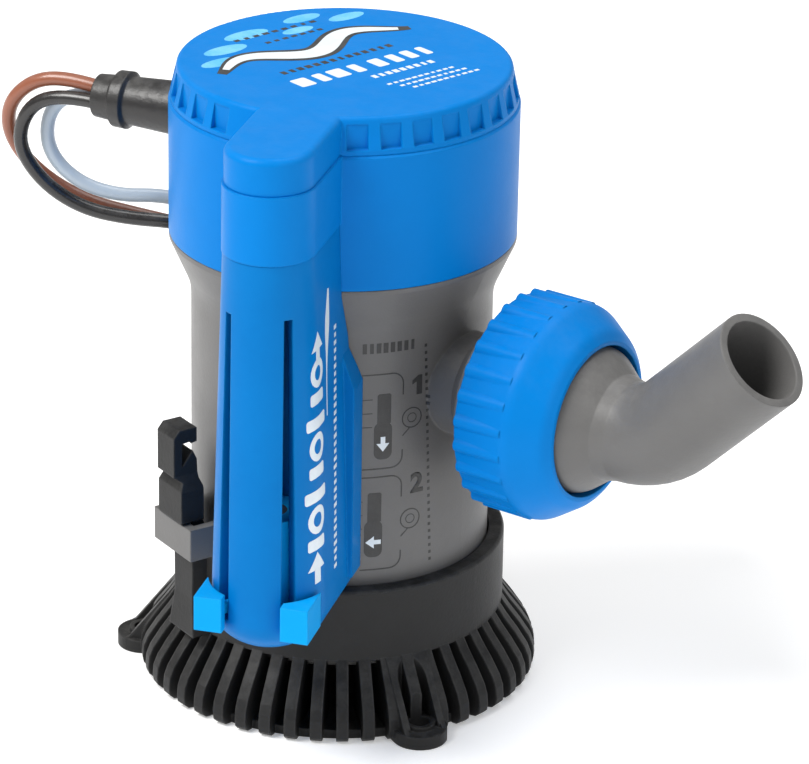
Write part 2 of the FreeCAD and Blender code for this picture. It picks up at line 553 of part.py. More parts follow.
def switch_column():
    """Slotted float column moulded against the side of the housing, with a domed foot."""
    body = new_body("column_solid")
    foot = nose_sketch(body, "column_foot", "column_low", "nose_foot_centre", "nose_foot_radius")
    head = nose_sketch(body, "column_head", "column_top", "nose_centre", "nose_radius")
    loft = body.newObject("PartDesign::AdditiveLoft", "column_loft")
    loft.Profile = foot
    loft.Sections = [head]
    loft.Ruled = True

    # the foot is half an ellipsoid under the nose, carried back to the housing as a half ellipse
    across, depth, low = size("nose_foot_radius"), size("dome_depth"), size("column_low")
    dome = doc.addObject("Part::Ellipsoid", "column_dome")
    bind(dome, Radius1="dome_depth", Radius2="nose_foot_radius", Radius3="nose_foot_radius")
    place(dome, "nose_foot_centre", "0", "column_low")
    keel = doc.addObject("Part::Feature", "column_keel")
    curve = Part.Ellipse(Vector(24, 0, low), across, depth).toShape()
    curve.rotate(Vector(24, 0, low), Vector(1, 0, 0), 90)
    curve.rotate(Vector(24, 0, low), Vector(0, 0, 1), 90)
    keel.Shape = Part.Face(Part.Wire(curve)).extrude(Vector(size("nose_foot_centre") - 24, 0, 0))
    below = block("column_below", ("20", "-20", "column_low - 20"), ("70", "20", "column_low"))
    foot_solid = doc.addObject("Part::Common", "column_foot_solid")
    foot_solid.Base = fuse("column_foot_round", dome, keel)
    foot_solid.Tool = below

    wings = new_body("column_wings")
    pad(wings, "wing_plate", "YZ_Plane", [
        ("-wing_width / 2", "wing_low"), ("wing_width / 2", "wing_low"), ("wing_width / 2", "wing_high"),
        ("nose_radius", "wing_high + 9"), ("-nose_radius", "wing_high + 9"), ("-wing_width / 2", "wing_high")],
        "wing_reach")
    solid = fuse("column_outside", body, foot_solid, wings)

    envelope = new_body("column_clearance")
    revolve(envelope, "column_clearance_turn", [
        ("0", "10"), ("collar_radius + 0.35", "10"), ("collar_radius + 0.35", "collar_top + 0.4"),
        ("body_radius + 0.03", "collar_top + 0.4"), ("body_radius + 0.03", "flare_low - 6"),
        ("body_radius + 0.8", "flare_low + 0.4"), ("cap_radius + 0.03", "cap_low - 0.9"),
        ("cap_radius + 0.03", "column_top + 1"), ("0", "column_top + 1")])
    cavity = rod("float_cavity", "cavity_radius", "slot_low", "column_top - 1.6", x="nose_centre - 0.5")
    reed_room = block("reed_room", ("reed_axis - 2", "-2.6", "70"), ("reed_axis + 2", "2.6", "column_top + 2"))
    drain = rod("column_drain", "2.6", "slot_low - 12", "slot_low + 1", x="nose_centre - 0.5")
    slots = []
    for side in (-1, 1):
        slot = new_body(f"slot_{'left' if side < 0 else 'right'}")
        pad(slot, slot.Name + "_cut", "YZ_Plane", [
            ("-1.45", "slot_low"), ("1.45", "slot_low"), ("0.8", "slot_high"), ("-0.8", "slot_high")], "16")
        slot.Placement = Placement(Vector(size("nose_centre") - 0.5, 0, 0),
                                   Rotation(Vector(0, 0, 1), side * SLOT_ANGLE))
        slots.append(slot)
    column = cut("switch_column", solid, envelope, cavity, reed_room, drain, *slots)
    keep(turn_about_z(column, COLUMN_ANGLE))


def float_parts():
    """Float with its two outside test ears, its ring magnet and the reed switch."""
    middle = "nose_centre - 0.5"
    barrel = rod("float_barrel", "float_radius", "float_low", "float_low + float_height", x=middle)
    stems = []
    ears = []
    for side, word in ((-1, "left"), (1, "right")):
        stem = doc.addObject("Part::Box", f"float_stem_{word}")
        bind(stem, Length="nose_foot_radius + 0.9", Width="1.0", Height="2.2")
        turned = Rotation(Vector(0, 0, 1), side * SLOT_ANGLE)
        stem.Placement = Placement(Vector(size("nose_centre") - 0.5, 0, 0) + turned.multVec(Vector(0, -0.5, 0)),
                                   turned)
        stem.setExpression("Placement.Base.z", bound("float_low + 0.6"))
        stems.append(stem)
        low, high = ("5.6", "10.9") if side > 0 else ("-10.9", "-5.6")
        ears.append(block(f"float_ear_{word}", ("50", low, "float_low - 2.0"),
            ("58.4", high, "float_low + 4.8")))
    room = new_body("ear_clearance")
    loft = room.newObject("PartDesign::AdditiveLoft", "ear_clearance_loft")
    loft.Profile = nose_sketch(room, "ear_clearance_foot", "20", "nose_foot_centre", "nose_foot_radius", 0.5)
    loft.Sections = [nose_sketch(room, "ear_clearance_head", "50", "nose_foot_centre", "nose_foot_radius", 0.5)]
    loft.Ruled = True
    outside = cut("float_ears", fuse("float_ear_pair", *ears), room)
    seat = rod("magnet_pocket", "magnet_seat", "float_low + float_height - 4",
        "float_low + float_height + 1", x=middle)
    whole = cut("float", fuse("float_joined", barrel, outside, *stems), seat)
    keep(turn_about_z(whole, COLUMN_ANGLE))

    magnet = ring("float_magnet", "magnet_seat", "1.2", "float_low + float_height - 4",
        "float_low + float_height - 0.2")
    magnet.Placement = Placement(Vector(size("nose_centre") - 0.5, 0, 0), Rotation())
    keep(turn_about_z(magnet, COLUMN_ANGLE))

    glass = rod("reed_glass", "1.3", "84", "98", x="reed_axis")
    wire = rod("reed_wire", "0.35", "76", "102", x="reed_axis")
    keep(turn_about_z(fuse("reed_switch", glass, wire), COLUMN_ANGLE))


# ---------------------------------------------------------------- motor

def motor_case():
    """Sealed canister, steel can, bushes, magnets, end bell and shaft seal."""
    canister = new_body("motor_canister")
    inner = "canister_radius - canister_wall"
    revolve(canister, "canister_turn", [
        ("5.0", "canister_low"), ("canister_radius", "canister_low"), ("canister_radius", "cap_low"),
        ("flange_radius", "cap_low"), ("flange_radius", "canister_groove"),
        ("flange_radius - 1.5", "canister_groove"),
        ("flange_radius - 1.5", "canister_groove + 1.8"), ("flange_radius", "canister_groove + 1.8"),
        ("flange_radius", "canister_top"), (inner, "canister_top"),
        (inner, "canister_low + 2.6"), ("5.0", "canister_low + 2.6")])
    keep(canister)
    keep(ring("shaft_seal", "4.95", "bush_bore", "canister_low", "canister_low + 2.6"))

    can = new_body("motor_can")
    revolve(can, "can_turn", [
        ("bush_radius + 0.02", "can_low"), ("can_radius", "can_low"), ("can_radius", "can_high"),
        ("can_radius - can_wall", "can_high"), ("can_radius - can_wall", "can_low + 1.2"),
        ("bush_radius + 0.02", "can_low + 1.2")])
    keep(can)
    keep(ring("lower_bush", "bush_radius", "bush_bore", "can_low - 0.6", "can_low + 4"))

    bell = new_body("end_bell")
    revolve(bell, "bell_turn", [
        ("bush_radius + 0.02", "can_high"), ("can_radius", "can_high"), ("can_radius", "can_high + 2.4"),
        ("7.2", "can_high + 2.4"), ("7.2", "can_high + 7"), ("bush_radius + 0.02", "can_high + 7")])
    keep(bell)
    keep(ring("upper_bush", "bush_radius", "bush_bore", "can_high + 1", "can_high + 7.4"))

    hoop_wall = ring("magnet_hoop", "can_radius - can_wall - 0.05", "magnet_inner", "37", "67")
    gap = block("magnet_gap", ("-20", "-5", "30"), ("20", "5", "70"))
    keep(cut("field_magnets", hoop_wall, gap))


def rotor():
    """Shaft, armature stack, windings, commutator and impeller."""
    keep(rod("rotor_shaft", "shaft_radius", "impeller_low - 0.4", "can_high + 8"))

    core = rod("core_disc", "core_radius", "core_low", "core_high")
    bore = rod("core_bore", "shaft_radius", "core_low - 1", "core_high + 1")
    slots = []
    count = int(size("slot_count"))
    for index in range(count):
        hole = rod(f"core_slot_{index}", "3.0", "core_low - 1", "core_high + 1", x="slot_circle")
        mouth = block(f"core_mouth_{index}", ("slot_circle", "-0.9", "core_low - 1"),
                      ("core_radius + 1", "0.9", "core_high + 1"))
        slots.append(carried(f"core_opening_{index}", fuse(f"core_gap_{index}", hole, mouth),
            360 * index / count))
    keep(cut("armature_core", core, bore, *slots))

    ends = [ring("winding_low", "winding_radius", "4.2", "core_low - winding_reach", "core_low"),
            ring("winding_high", "winding_radius", "4.2", "core_high", "core_high + winding_reach")]
    for index in range(count):
        bar = rod(f"winding_bar_{index}", "2.8", "core_low", "core_high", x="slot_circle")
        ends.append(carried(f"winding_place_{index}", bar, 360 * index / count))
    keep(fuse("armature_windings", *ends))

    barrel = ring("commutator_barrel", "commutator_radius", "shaft_radius", "commutator_low", "commutator_top")
    slits = []
    for index in range(count):
        slit = block(f"commutator_slit_{index}", ("3.2", "-0.25", "commutator_low - 0.4"),
                     ("commutator_radius + 0.8", "0.25", "commutator_top - 1"))
        slits.append(carried(f"commutator_place_{index}", slit, 36 + 360 * index / count))
    keep(cut("commutator", barrel, *slits))

    body = new_body("impeller")
    revolve(body, "impeller_disc", [
        ("shaft_radius", "impeller_low"), ("3.6", "impeller_low"), ("4.2", "impeller_top - 2"),
        ("impeller_radius", "impeller_top - 1.4"), ("impeller_radius", "impeller_top"),
        ("shaft_radius", "impeller_top")])
    sketch = sketch_on(body, "vane_outline", "XY_Plane")
    bind(sketch, **{"AttachmentOffset.Base.z": "impeller_low + 0.8"})
    tip = size("impeller_radius")
    inner = Vector(3.0, 0, 0)
    outer = Vector(tip * math.cos(math.radians(50)), tip * math.sin(math.radians(50)), 0)
    for offset in (0.0, 1.3):
        shift = Vector(offset, 0, 0)
        bow = (inner + outer) * 0.5 + Vector(1.7, -2.0, 0) + shift
        sketch.addGeometry(Part.Arc(inner + shift, bow, outer + shift * 0.6), False)
    first, second = sketch.Geometry
    sketch.addGeometry(Part.LineSegment(first.StartPoint, second.StartPoint), False)
    sketch.addGeometry(Part.LineSegment(first.EndPoint, second.EndPoint), False)
    vane = body.newObject("PartDesign::Pad", "vane")
    vane.Profile = sketch
    bind(vane, Length="impeller_top - impeller_low - 2.1")
    pattern(body, [vane], "vanes", "Z_Axis", "vane_count")
    keep(body)


def brush_gear():
    """Brush card with two brushes, their leaf springs and the motor terminals."""
    card = new_body("brush_card")
    revolve(card, "card_turn", [("6.6", "card_low"), ("can_radius - can_wall - 0.1", "card_low"),
                                ("can_radius - can_wall - 0.1", "card_low + 1.3"), ("6.6", "card_low + 1.3")])
    keep(card)
    for name, low, high in (("brushes", ("commutator_radius + 0.3", "-2", "card_low + 2.5"),
        ("11.4", "2", "card_low + 7.1")),
                            ("brush_springs", ("11.5", "-1.6", "card_low + 2.9"),
                            ("17.0", "1.6", "card_low + 3.3")),
                            ("motor_terminals", ("12.2", "-2.4", "can_high + 2.4"), ("13.0", "2.4", "97.5"))):
        one = block(name + "_one", low, high)
        pair = doc.addObject("Part::Compound", name)
        pair.Links = [carried(name + "_first", one, 0), carried(name + "_second", one, 180)]
        keep(pair)


def electronics():
    """Switch board on posts above the motor, with its power transistor."""
    keep(ring("switch_board", "board_radius", "board_bore", "board_low", "board_top"))
    posts = doc.addObject("Part::Compound", "board_posts")
    post = rod("board_post", "post_radius", "canister_top", "board_low", x="post_circle")
    posts.Links = [carried(f"board_post_{index}", post, 30 + 120 * index) for index in range(3)]
    keep(posts)
    case = block("transistor_case",
                 ("transistor_face - transistor_depth", "-transistor_width / 2", "board_top"),
                 ("transistor_face", "transistor_width / 2", "board_top + 8.4"))
    tab = block("transistor_tab", ("transistor_face", "-transistor_width / 2", "board_top"),
                ("transistor_face + 1.2", "transistor_width / 2", "board_top + 12.4"))
    keep(turn_about_z(fuse("switch_transistor", case, tab), 60))


# ---------------------------------------------------------------- cable

def cable_boot():
    """Rubber boot where the leads leave the cap, with a bulge near its free end."""
    boot = new_body("cable_boot_body")
    revolve(boot, "boot_turn", [
        ("28.4", "0"), ("28.4", "boot_radius + 0.6"), ("30.0", "boot_radius + 0.6"),
        ("30.0", "boot_radius - 0.7"),
        ("cap_radius + 0.1", "boot_radius - 0.7"), ("cap_radius + 0.1", "boot_radius"),
        ("boot_end - 7.2", "boot_radius - 0.6"), ("boot_end - 6.6", "boot_radius + 0.3"),
        ("boot_end - 4.2", "boot_radius + 0.2"), ("boot_end - 3.6", "boot_radius - 0.8"),
        ("boot_end", "boot_radius - 1.1"), ("boot_end", "0")], axis="H_Axis")
    place(boot, z="boot_height")
    keep(carried("cable_boot", boot, BOOT_ANGLE))


LEAD_ROUTES = {
    "brown_lead": [
        (-50.37, -10.71, 110.22), (-57.0, -12.2, 111.2), (-64.0, -14.6, 109.8), (-69.6, -15.4, 103.8),
        (-71.4, -12.6, 95.6), (-67.6, -8.4, 87.9), (-60.0, -3.4, 82.3), (-50.5, 1.6, 80.2),
        (-42.5, 8.0, 77.6), (-37.5, 16.5, 71.5), (-35.0, 25.5, 60.0), (-30.5, 32.0, 46.0),
        (-25.6, 37.8, 33.0), (-20.6, 43.6, 21.6), (-17.4, 50.6, 12.6), (-17.6, 58.2, 8.0)],
    "black_lead": [
        (-50.05, -12.23, 107.7), (-57.0, -14.0, 108.2), (-63.8, -15.8, 105.2), (-66.6, -16.4, 97.0),
        (-63.6, -12.9, 88.6), (-57.4, -8.2, 83.0), (-49.6, -3.4, 81.2), (-41.2, 2.6, 80.6),
        (-34.8, 10.6, 76.2), (-31.0, 18.2, 66.0), (-28.2, 24.0, 53.0), (-24.5, 28.5, 39.5),
        (-20.8, 33.2, 26.4), (-18.4, 38.6, 14.4), (-17.2, 44.8, 5.6), (-17.6, 52.2, 2.2)],
    "white_lead": [
        (-50.70, -9.19, 107.7), (-57.6, -10.3, 107.6), (-63.0, -11.2, 102.6), (-63.4, -11.0, 94.4),
        (-58.8, -7.8, 88.0), (-52.4, -3.0, 85.2), (-46.0, 2.4, 85.2), (-40.0, 9.0, 82.6),
        (-37.0, 17.6, 77.6), (-37.4, 27.0, 69.0), (-37.2, 34.0, 57.0), (-33.5, 38.5, 43.0),
        (-28.4, 43.6, 31.4), (-22.6, 49.6, 22.4), (-18.8, 56.8, 16.4), (-19.8, 63.8, 13.6)],
}
TAIL_ROUTES = {
    "brown_lead": [(-59.2, 59.3, 10.3), (-61.2, 52.8, 9.2), (-61.4, 46.6, 7.9)],
    "black_lead": [(-56.2, 66.2, 4.6), (-60.6, 60.6, 3.6), (-63.2, 54.8, 2.6)],
    "white_lead": [(-60.1, 53.2, 16.0), (-59.9, 46.8, 15.0), (-57.6, 41.4, 13.8)],
}
COIL_CENTRE = Vector(-38.0, 54.0, 0)
TIE_ANGLE = 80.0
TIP_LENGTH = 7.0


def lead_path(points, report):
    """Straight runs joined by tangent arcs as large as the runs allow."""
    corners = [Vector(*point) for point in points]
    edges = []
    here = corners[0]
    for before, corner, after in zip(corners, corners[1:], corners[2:]):
        back, ahead = before - corner, after - corner
        shorter = min(back.Length, ahead.Length)
        turn = math.pi - back.getAngle(ahead)
        reach = 0.45 * shorter
        report.append(reach / math.tan(turn / 2))
        back.normalize()
        ahead.normalize()
        start, end = corner + back * reach, corner + ahead * reach
        inward = (back + ahead).normalize()
        radius = report[-1]
        middle = corner + inward * (radius / math.cos(turn / 2) - radius)
        edges.append(Part.LineSegment(here, start).toShape())
        edges.append(Part.Arc(start, middle, end).toShape())
        here = end
    edges.append(Part.LineSegment(here, corners[-1]).toShape())
    return Part.Wire(edges)


def lead_tube(points, radius):
    """A round tube along a lead's path, checked against section times length."""
    radii = []
    path = lead_path(points, radii)
    heading = (Vector(*points[1]) - Vector(*points[0])).normalize()
    section = Part.Wire(Part.Circle(Vector(*points[0]), heading, radius).toShape())
    tube = path.makePipeShell([section], True, True)
    share = tube.Volume / (math.pi * radius ** 2 * path.Length)
    print(f"  radii {min(radii):.1f} to {max(radii):.1f}, length {path.Length:.1f}, volume share {share:.3f}")
    if tube.Volume < 0:
        tube.reverse()
    return tube


def leads():
    """Three free leads, their shared coil, its tie and the stripped tips."""
    radius = size("lead_diameter") / 2
    tips = []
    for name, route in LEAD_ROUTES.items():
        print(name)
        tail = TAIL_ROUTES[name]
        solid = doc.addObject("Part::Feature", name)
        solid.Shape = Part.makeCompound([lead_tube(route, radius), lead_tube(tail, radius)])
        keep(solid)
        end = Vector(*tail[-1])
        heading = (end - Vector(*tail[-2])).normalize()
        tips.append(Part.makeCylinder(0.75 * radius, TIP_LENGTH, end, heading))
    stripped = doc.addObject("Part::Feature", "lead_tips")
    stripped.Shape = Part.makeCompound(tips)
    keep(stripped)

    coil = new_body("lead_coil_body")
    inner, outer = "coil_radius - coil_ring", "coil_radius + coil_ring"
    revolve(coil, "coil_turn", [
        (f"{inner} + 1.2", "coil_low"), (f"{outer} - 1.2", "coil_low"), (outer, "coil_low + 1.2"),
        (outer, "coil_top - 1.2"), (f"{outer} - 1.2", "coil_top"), (f"{inner} + 1.2", "coil_top"),
        (inner, "coil_top - 1.2"), (inner, "coil_low + 1.2")])
    coil.Placement = Placement(COIL_CENTRE, Rotation())
    coil.Label = "lead_coil"
    keep(coil)
    band = block("tie_outside", ("coil_radius - coil_ring - 0.8", "-2.2", "0"),
                 ("coil_radius + coil_ring + 0.8", "2.2", "coil_top + 0.7"))
    room = block("tie_inside", ("coil_radius - coil_ring - 0.02", "-3", "coil_low - 0.02"),
                 ("coil_radius + coil_ring + 0.02", "3", "coil_top + 0.02"))
    tie = cut("coil_tie", band, room)
    tie.Placement = Placement(COIL_CENTRE, Rotation(Vector(0, 0, 1), TIE_ANGLE))
    keep(tie)


# ---------------------------------------------------------------- build and export

strainer_base()
for latch_name, latch_angle in LATCH_ANGLES.items():
    latch(latch_name, latch_angle)
pump_housing()
housing_details()
union_nut()
outlet_elbow()
cap()
switch_column()
float_parts()
motor_case()
rotor()
brush_gear()
electronics()
cable_boot()
leads()
doc.recompute()

for thing in doc.Objects:
    if {"Invalid", "Error"} & set(thing.State):
        raise RuntimeError(f"{thing.Label} failed: {thing.State}")
os.makedirs("parts", exist_ok=True)
for node in nodes:
    shape = node.Shape
    if shape.isNull() or not shape.isValid() or not shape.Solids:
        raise RuntimeError(f"{node.Label} has no valid solid")
    shape.exportStep(f"parts/{node.Label}.step")
    box = shape.BoundBox
    summary = f"{node.Label:18s} solids {len(shape.Solids)} volume {shape.Volume:9.1f}"
    print(f"{summary} z {box.ZMin:6.2f} {box.ZMax:6.2f}")
print(len(nodes), "nodes")
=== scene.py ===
"""Automatic bilge pump: finishes, leads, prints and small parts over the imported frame."""
import json
import logging
import math
from dataclasses import dataclass, field
from enum import Enum
from typing import Iterable, Sequence

import bmesh
import bpy
from mathutils import Matrix, Vector
from mathutils.bvhtree import BVHTree


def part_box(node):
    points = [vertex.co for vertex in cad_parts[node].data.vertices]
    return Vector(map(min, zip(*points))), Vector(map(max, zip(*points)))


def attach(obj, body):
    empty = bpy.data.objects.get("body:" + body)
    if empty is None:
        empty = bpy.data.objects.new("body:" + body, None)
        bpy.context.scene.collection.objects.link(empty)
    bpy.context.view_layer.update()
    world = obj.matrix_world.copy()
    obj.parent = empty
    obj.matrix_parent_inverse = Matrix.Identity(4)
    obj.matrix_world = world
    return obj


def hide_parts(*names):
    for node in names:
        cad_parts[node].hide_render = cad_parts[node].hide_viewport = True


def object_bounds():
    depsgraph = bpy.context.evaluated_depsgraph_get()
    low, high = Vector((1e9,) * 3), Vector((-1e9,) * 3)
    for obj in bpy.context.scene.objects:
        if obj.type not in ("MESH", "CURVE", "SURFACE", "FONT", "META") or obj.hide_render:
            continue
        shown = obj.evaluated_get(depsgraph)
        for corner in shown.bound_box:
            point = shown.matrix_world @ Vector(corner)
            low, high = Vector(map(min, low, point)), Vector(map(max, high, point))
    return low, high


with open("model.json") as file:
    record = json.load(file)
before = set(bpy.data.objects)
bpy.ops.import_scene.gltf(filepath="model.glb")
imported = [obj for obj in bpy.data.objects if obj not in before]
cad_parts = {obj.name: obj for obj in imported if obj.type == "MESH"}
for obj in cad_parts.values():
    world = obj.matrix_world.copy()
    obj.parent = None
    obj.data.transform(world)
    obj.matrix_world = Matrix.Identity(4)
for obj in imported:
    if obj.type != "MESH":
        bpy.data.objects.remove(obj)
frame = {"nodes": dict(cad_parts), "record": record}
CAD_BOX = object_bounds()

LOG = logging.getLogger("bilge_pump")
MM = 0.001
Colour = tuple[float, float, float]
Point2 = tuple[float, float]


def polar(radius: float, degrees: float, height: float) -> Vector:
    """A point in metres from millimetres and degrees round the pump's axis."""
    turn = math.radians(degrees)
    return Vector((radius * math.cos(turn), radius * math.sin(turn), height)) * MM


# ---------------------------------------------------------------- shader tools


class Graph:
    """One node tree that is being filled."""

    def __init__(self, tree: bpy.types.NodeTree) -> None:
        """Keeps the tree."""
        self.tree = tree

    def add(self, kind: str, **values: object) -> bpy.types.Node:
        """Adds a node.

        Args:
            kind: the node's type without its ShaderNode prefix.
            values: node properties, or input defaults where a socket has that name
                (underscores stand for spaces).

        Returns:
            The new node.
        """
        prefix = "" if kind.startswith(("NodeGroup", "GeometryNode", "FunctionNode")) else "ShaderNode"
        node = self.tree.nodes.new(prefix + kind)
        for key, value in values.items():
            if hasattr(node, key):
                setattr(node, key, value)
            else:
                node.inputs[key.replace("_", " ")].default_value = value
        return node

    def link(self, source: bpy.types.NodeSocket, target: bpy.types.NodeSocket) -> None:
        """Joins an output to an input."""
        self.tree.links.new(source, target)

    def maths(self, operation: str, *terms: object, clamp: bool = False) -> bpy.types.NodeSocket:
        """A Math node over sockets or numbers, and its result."""
        node = self.tree.nodes.new("ShaderNodeMath")
        node.operation = operation
        node.use_clamp = clamp
        for index, term in enumerate(terms):
            if isinstance(term, bpy.types.NodeSocket):
                self.link(term, node.inputs[index])
            else:
                node.inputs[index].default_value = term
        return node.outputs[0]

    def ramp(self, value: bpy.types.NodeSocket, low: float, high: float,
             start: float = 0.0, end: float = 1.0) -> bpy.types.NodeSocket:
        """A smooth remap of value from low..high to start..end."""
        node = self.tree.nodes.new("ShaderNodeMapRange")
        node.interpolation_type = "SMOOTHSTEP"
        self.link(value, node.inputs["Value"])
        for name, number in (("From Min", low), ("From Max", high), ("To Min", start), ("To Max", end)):
            node.inputs[name].default_value = number
        return node.outputs["Result"]

    def mixed(self, factor: bpy.types.NodeSocket, first: object, second: object) -> bpy.types.NodeSocket:
        """A colour between two sockets or colours."""
        node = self.tree.nodes.new("ShaderNodeMix")
        node.data_type = "RGBA"
        self.link(factor, node.inputs["Factor"])
        for socket, value in ((node.inputs[6], first), (node.inputs[7], second)):
            if isinstance(value, bpy.types.NodeSocket):
                self.link(value, socket)
            else:
                socket.default_value = (*value, 1.0)
        return node.outputs[2]


class Effects:
    """The shader groups that several finishes share, each built once."""

    _built: dict[str, bpy.types.NodeTree] = {}

    @classmethod
    def _start(cls, name: str, inputs: Sequence[tuple[str, str, object]],
               outputs: Sequence[tuple[str, str]]) -> tuple[Graph, bpy.types.Node, bpy.types.Node]:
        """An empty group with its sockets, and its two end nodes."""
        tree = bpy.data.node_groups.new(name, "ShaderNodeTree")
        for label, kind, value in inputs:
            socket = tree.interface.new_socket(label, in_out="INPUT", socket_type=kind)
            if value is not None:
                socket.default_value = value
        for label, kind in outputs:
            tree.interface.new_socket(label, in_out="OUTPUT", socket_type=kind)
        graph = Graph(tree)
        cls._built[name] = tree
        return graph, graph.add("NodeGroupInput"), graph.add("NodeGroupOutput")

    @classmethod
    def grain(cls) -> bpy.types.NodeTree:
        """Spark eroded mould texture: a height in -1..1 times Depth."""
        if "mould_grain" not in cls._built:
            graph, ins, outs = cls._start(
                "mould_grain",
                [("Vector", "NodeSocketVector", None), ("Scale", "NodeSocketFloat", 1500.0),
                 ("Depth", "NodeSocketFloat", 1.0)],
                [("Height", "NodeSocketFloat")])
            noise = graph.add("TexNoise", Detail=3.0, Roughness=0.62)
            cells = graph.add("TexVoronoi", feature="SMOOTH_F1")
            for texture, factor in ((noise, 1.0), (cells, 0.7)):
                graph.link(ins.outputs["Vector"], texture.inputs["Vector"])
                graph.link(graph.maths("MULTIPLY", ins.outputs["Scale"], factor), texture.inputs["Scale"])
            soft = graph.maths("SUBTRACT", noise.outputs["Fac"], 0.5)
            pits = graph.maths("MULTIPLY", cells.outputs["Distance"], -0.45)
            graph.link(graph.maths("MULTIPLY", graph.maths("ADD", soft, pits), ins.outputs["Depth"]),
                       outs.inputs["Height"])
        return cls._built["mould_grain"]

    @classmethod
    def drift(cls) -> bpy.types.NodeTree:
        """Slow colour variation of a moulding, with faint flow streaks."""
        if "colour_drift" not in cls._built:
            graph, ins, outs = cls._start(
                "colour_drift",
                [("Vector", "NodeSocketVector", None), ("Colour", "NodeSocketColor", None),
                 ("Second Colour", "NodeSocketColor", None), ("Scale", "NodeSocketFloat", 45.0),
                 ("Amount", "NodeSocketFloat", 0.5)],
                [("Colour", "NodeSocketColor"), ("Mask", "NodeSocketFloat")])
            wide = graph.add("TexNoise", Detail=2.0, Roughness=0.5)
            fine = graph.add("TexNoise", Detail=4.0, Roughness=0.7, Distortion=0.6)
            for texture, factor in ((wide, 1.0), (fine, 7.0)):
                graph.link(ins.outputs["Vector"], texture.inputs["Vector"])
                graph.link(graph.maths("MULTIPLY", ins.outputs["Scale"], factor), texture.inputs["Scale"])
            broad = graph.ramp(wide.outputs["Fac"], 0.3, 0.7)
            specks = graph.ramp(fine.outputs["Fac"], 0.35, 0.75)
            both = graph.maths("ADD", graph.maths("MULTIPLY", broad, 0.65),
                               graph.maths("MULTIPLY", specks, 0.35))
            mask = graph.maths("MULTIPLY", both, ins.outputs["Amount"], clamp=True)
            graph.link(mask, outs.inputs["Mask"])
            graph.link(graph.mixed(mask, ins.outputs["Colour"], ins.outputs["Second Colour"]),
                       outs.inputs["Colour"])
        return cls._built["colour_drift"]

    @classmethod
    def edges(cls) -> bpy.types.NodeTree:
        """Where corners are rubbed, and where a painted highlight lies along them: the rounded normal against
        the true one, broken up by noise.
        """
        if "rubbed_and_lit_edges" not in cls._built:
            graph, ins, outs = cls._start(
                "rubbed_and_lit_edges",
                [("Vector", "NodeSocketVector", None), ("Radius", "NodeSocketFloat", 0.0008),
                 ("Amount", "NodeSocketFloat", 0.5)],
                [("Mask", "NodeSocketFloat")])
            wide = graph.add("Bevel", samples=4)
            graph.link(ins.outputs["Radius"], wide.inputs["Radius"])
            facing = graph.add("NewGeometry")
            dot = graph.add("VectorMath", operation="DOT_PRODUCT")
            graph.link(wide.outputs["Normal"], dot.inputs[0])
            graph.link(facing.outputs["Normal"], dot.inputs[1])
            turned = graph.ramp(dot.outputs["Value"], 0.985, 0.80)
            noise = graph.add("TexNoise", Scale=420.0, Detail=4.0, Roughness=0.7)
            graph.link(ins.outputs["Vector"], noise.inputs["Vector"])
            broken = graph.ramp(noise.outputs["Fac"], 0.36, 0.66, 0.25, 1.0)
            graph.link(graph.maths("MULTIPLY", graph.maths("MULTIPLY", turned, broken),
                                   ins.outputs["Amount"], clamp=True), outs.inputs["Mask"])
        return cls._built["rubbed_and_lit_edges"]

    @classmethod
    def scuffs(cls) -> bpy.types.NodeTree:
        """Handling marks: sparse short scratches and dull patches."""
        if "handling_scuffs" not in cls._built:
            graph, ins, outs = cls._start(
                "handling_scuffs",
                [("Vector", "NodeSocketVector", None), ("Amount", "NodeSocketFloat", 0.5)],
                [("Mask", "NodeSocketFloat")])
            masks = []
            for stretch, turn in (((1.0, 14.0, 3.0), 0.5), ((9.0, 1.0, 16.0), -0.9)):
                mapping = graph.add("Mapping", Scale=stretch, Rotation=(turn, 0.3, turn))
                graph.link(ins.outputs["Vector"], mapping.inputs["Vector"])
                noise = graph.add("TexNoise", Scale=95.0, Detail=2.0, Roughness=0.6)
                graph.link(mapping.outputs["Vector"], noise.inputs["Vector"])
                masks.append(graph.ramp(noise.outputs["Fac"], 0.68, 0.76))
            patches = graph.add("TexNoise", Scale=60.0, Detail=3.0, Roughness=0.65)
            graph.link(ins.outputs["Vector"], patches.inputs["Vector"])
            dull = graph.ramp(patches.outputs["Fac"], 0.45, 0.75, 0.0, 0.6)
            lines = graph.maths("MULTIPLY", graph.maths("MAXIMUM", *masks), 0.8)
            graph.link(graph.maths("MULTIPLY", graph.maths("MAXIMUM", lines, dull),
                                   ins.outputs["Amount"], clamp=True), outs.inputs["Mask"])
        return cls._built["handling_scuffs"]

    @classmethod
    def dust(cls) -> bpy.types.NodeTree:
        """Fine dust that settles on surfaces that face up, thicker in patches."""
        if "settled_dust" not in cls._built:
            graph, ins, outs = cls._start(
                "settled_dust",
                [("Vector", "NodeSocketVector", None), ("Amount", "NodeSocketFloat", 0.3)],
                [("Mask", "NodeSocketFloat")])
            facing = graph.add("NewGeometry")
            split = graph.add("SeparateXYZ")
            graph.link(facing.outputs["Normal"], split.inputs[0])
            upward = graph.ramp(split.outputs["Z"], 0.1, 0.95)
            noise = graph.add("TexNoise", Scale=230.0, Detail=5.0, Roughness=0.72)
            graph.link(ins.outputs["Vector"], noise.inputs["Vector"])
            patchy = graph.ramp(noise.outputs["Fac"], 0.35, 0.7)
            graph.link(graph.maths("MULTIPLY", graph.maths("MULTIPLY", upward, patchy),
                                   ins.outputs["Amount"], clamp=True), outs.inputs["Mask"])
        return cls._built["settled_dust"]


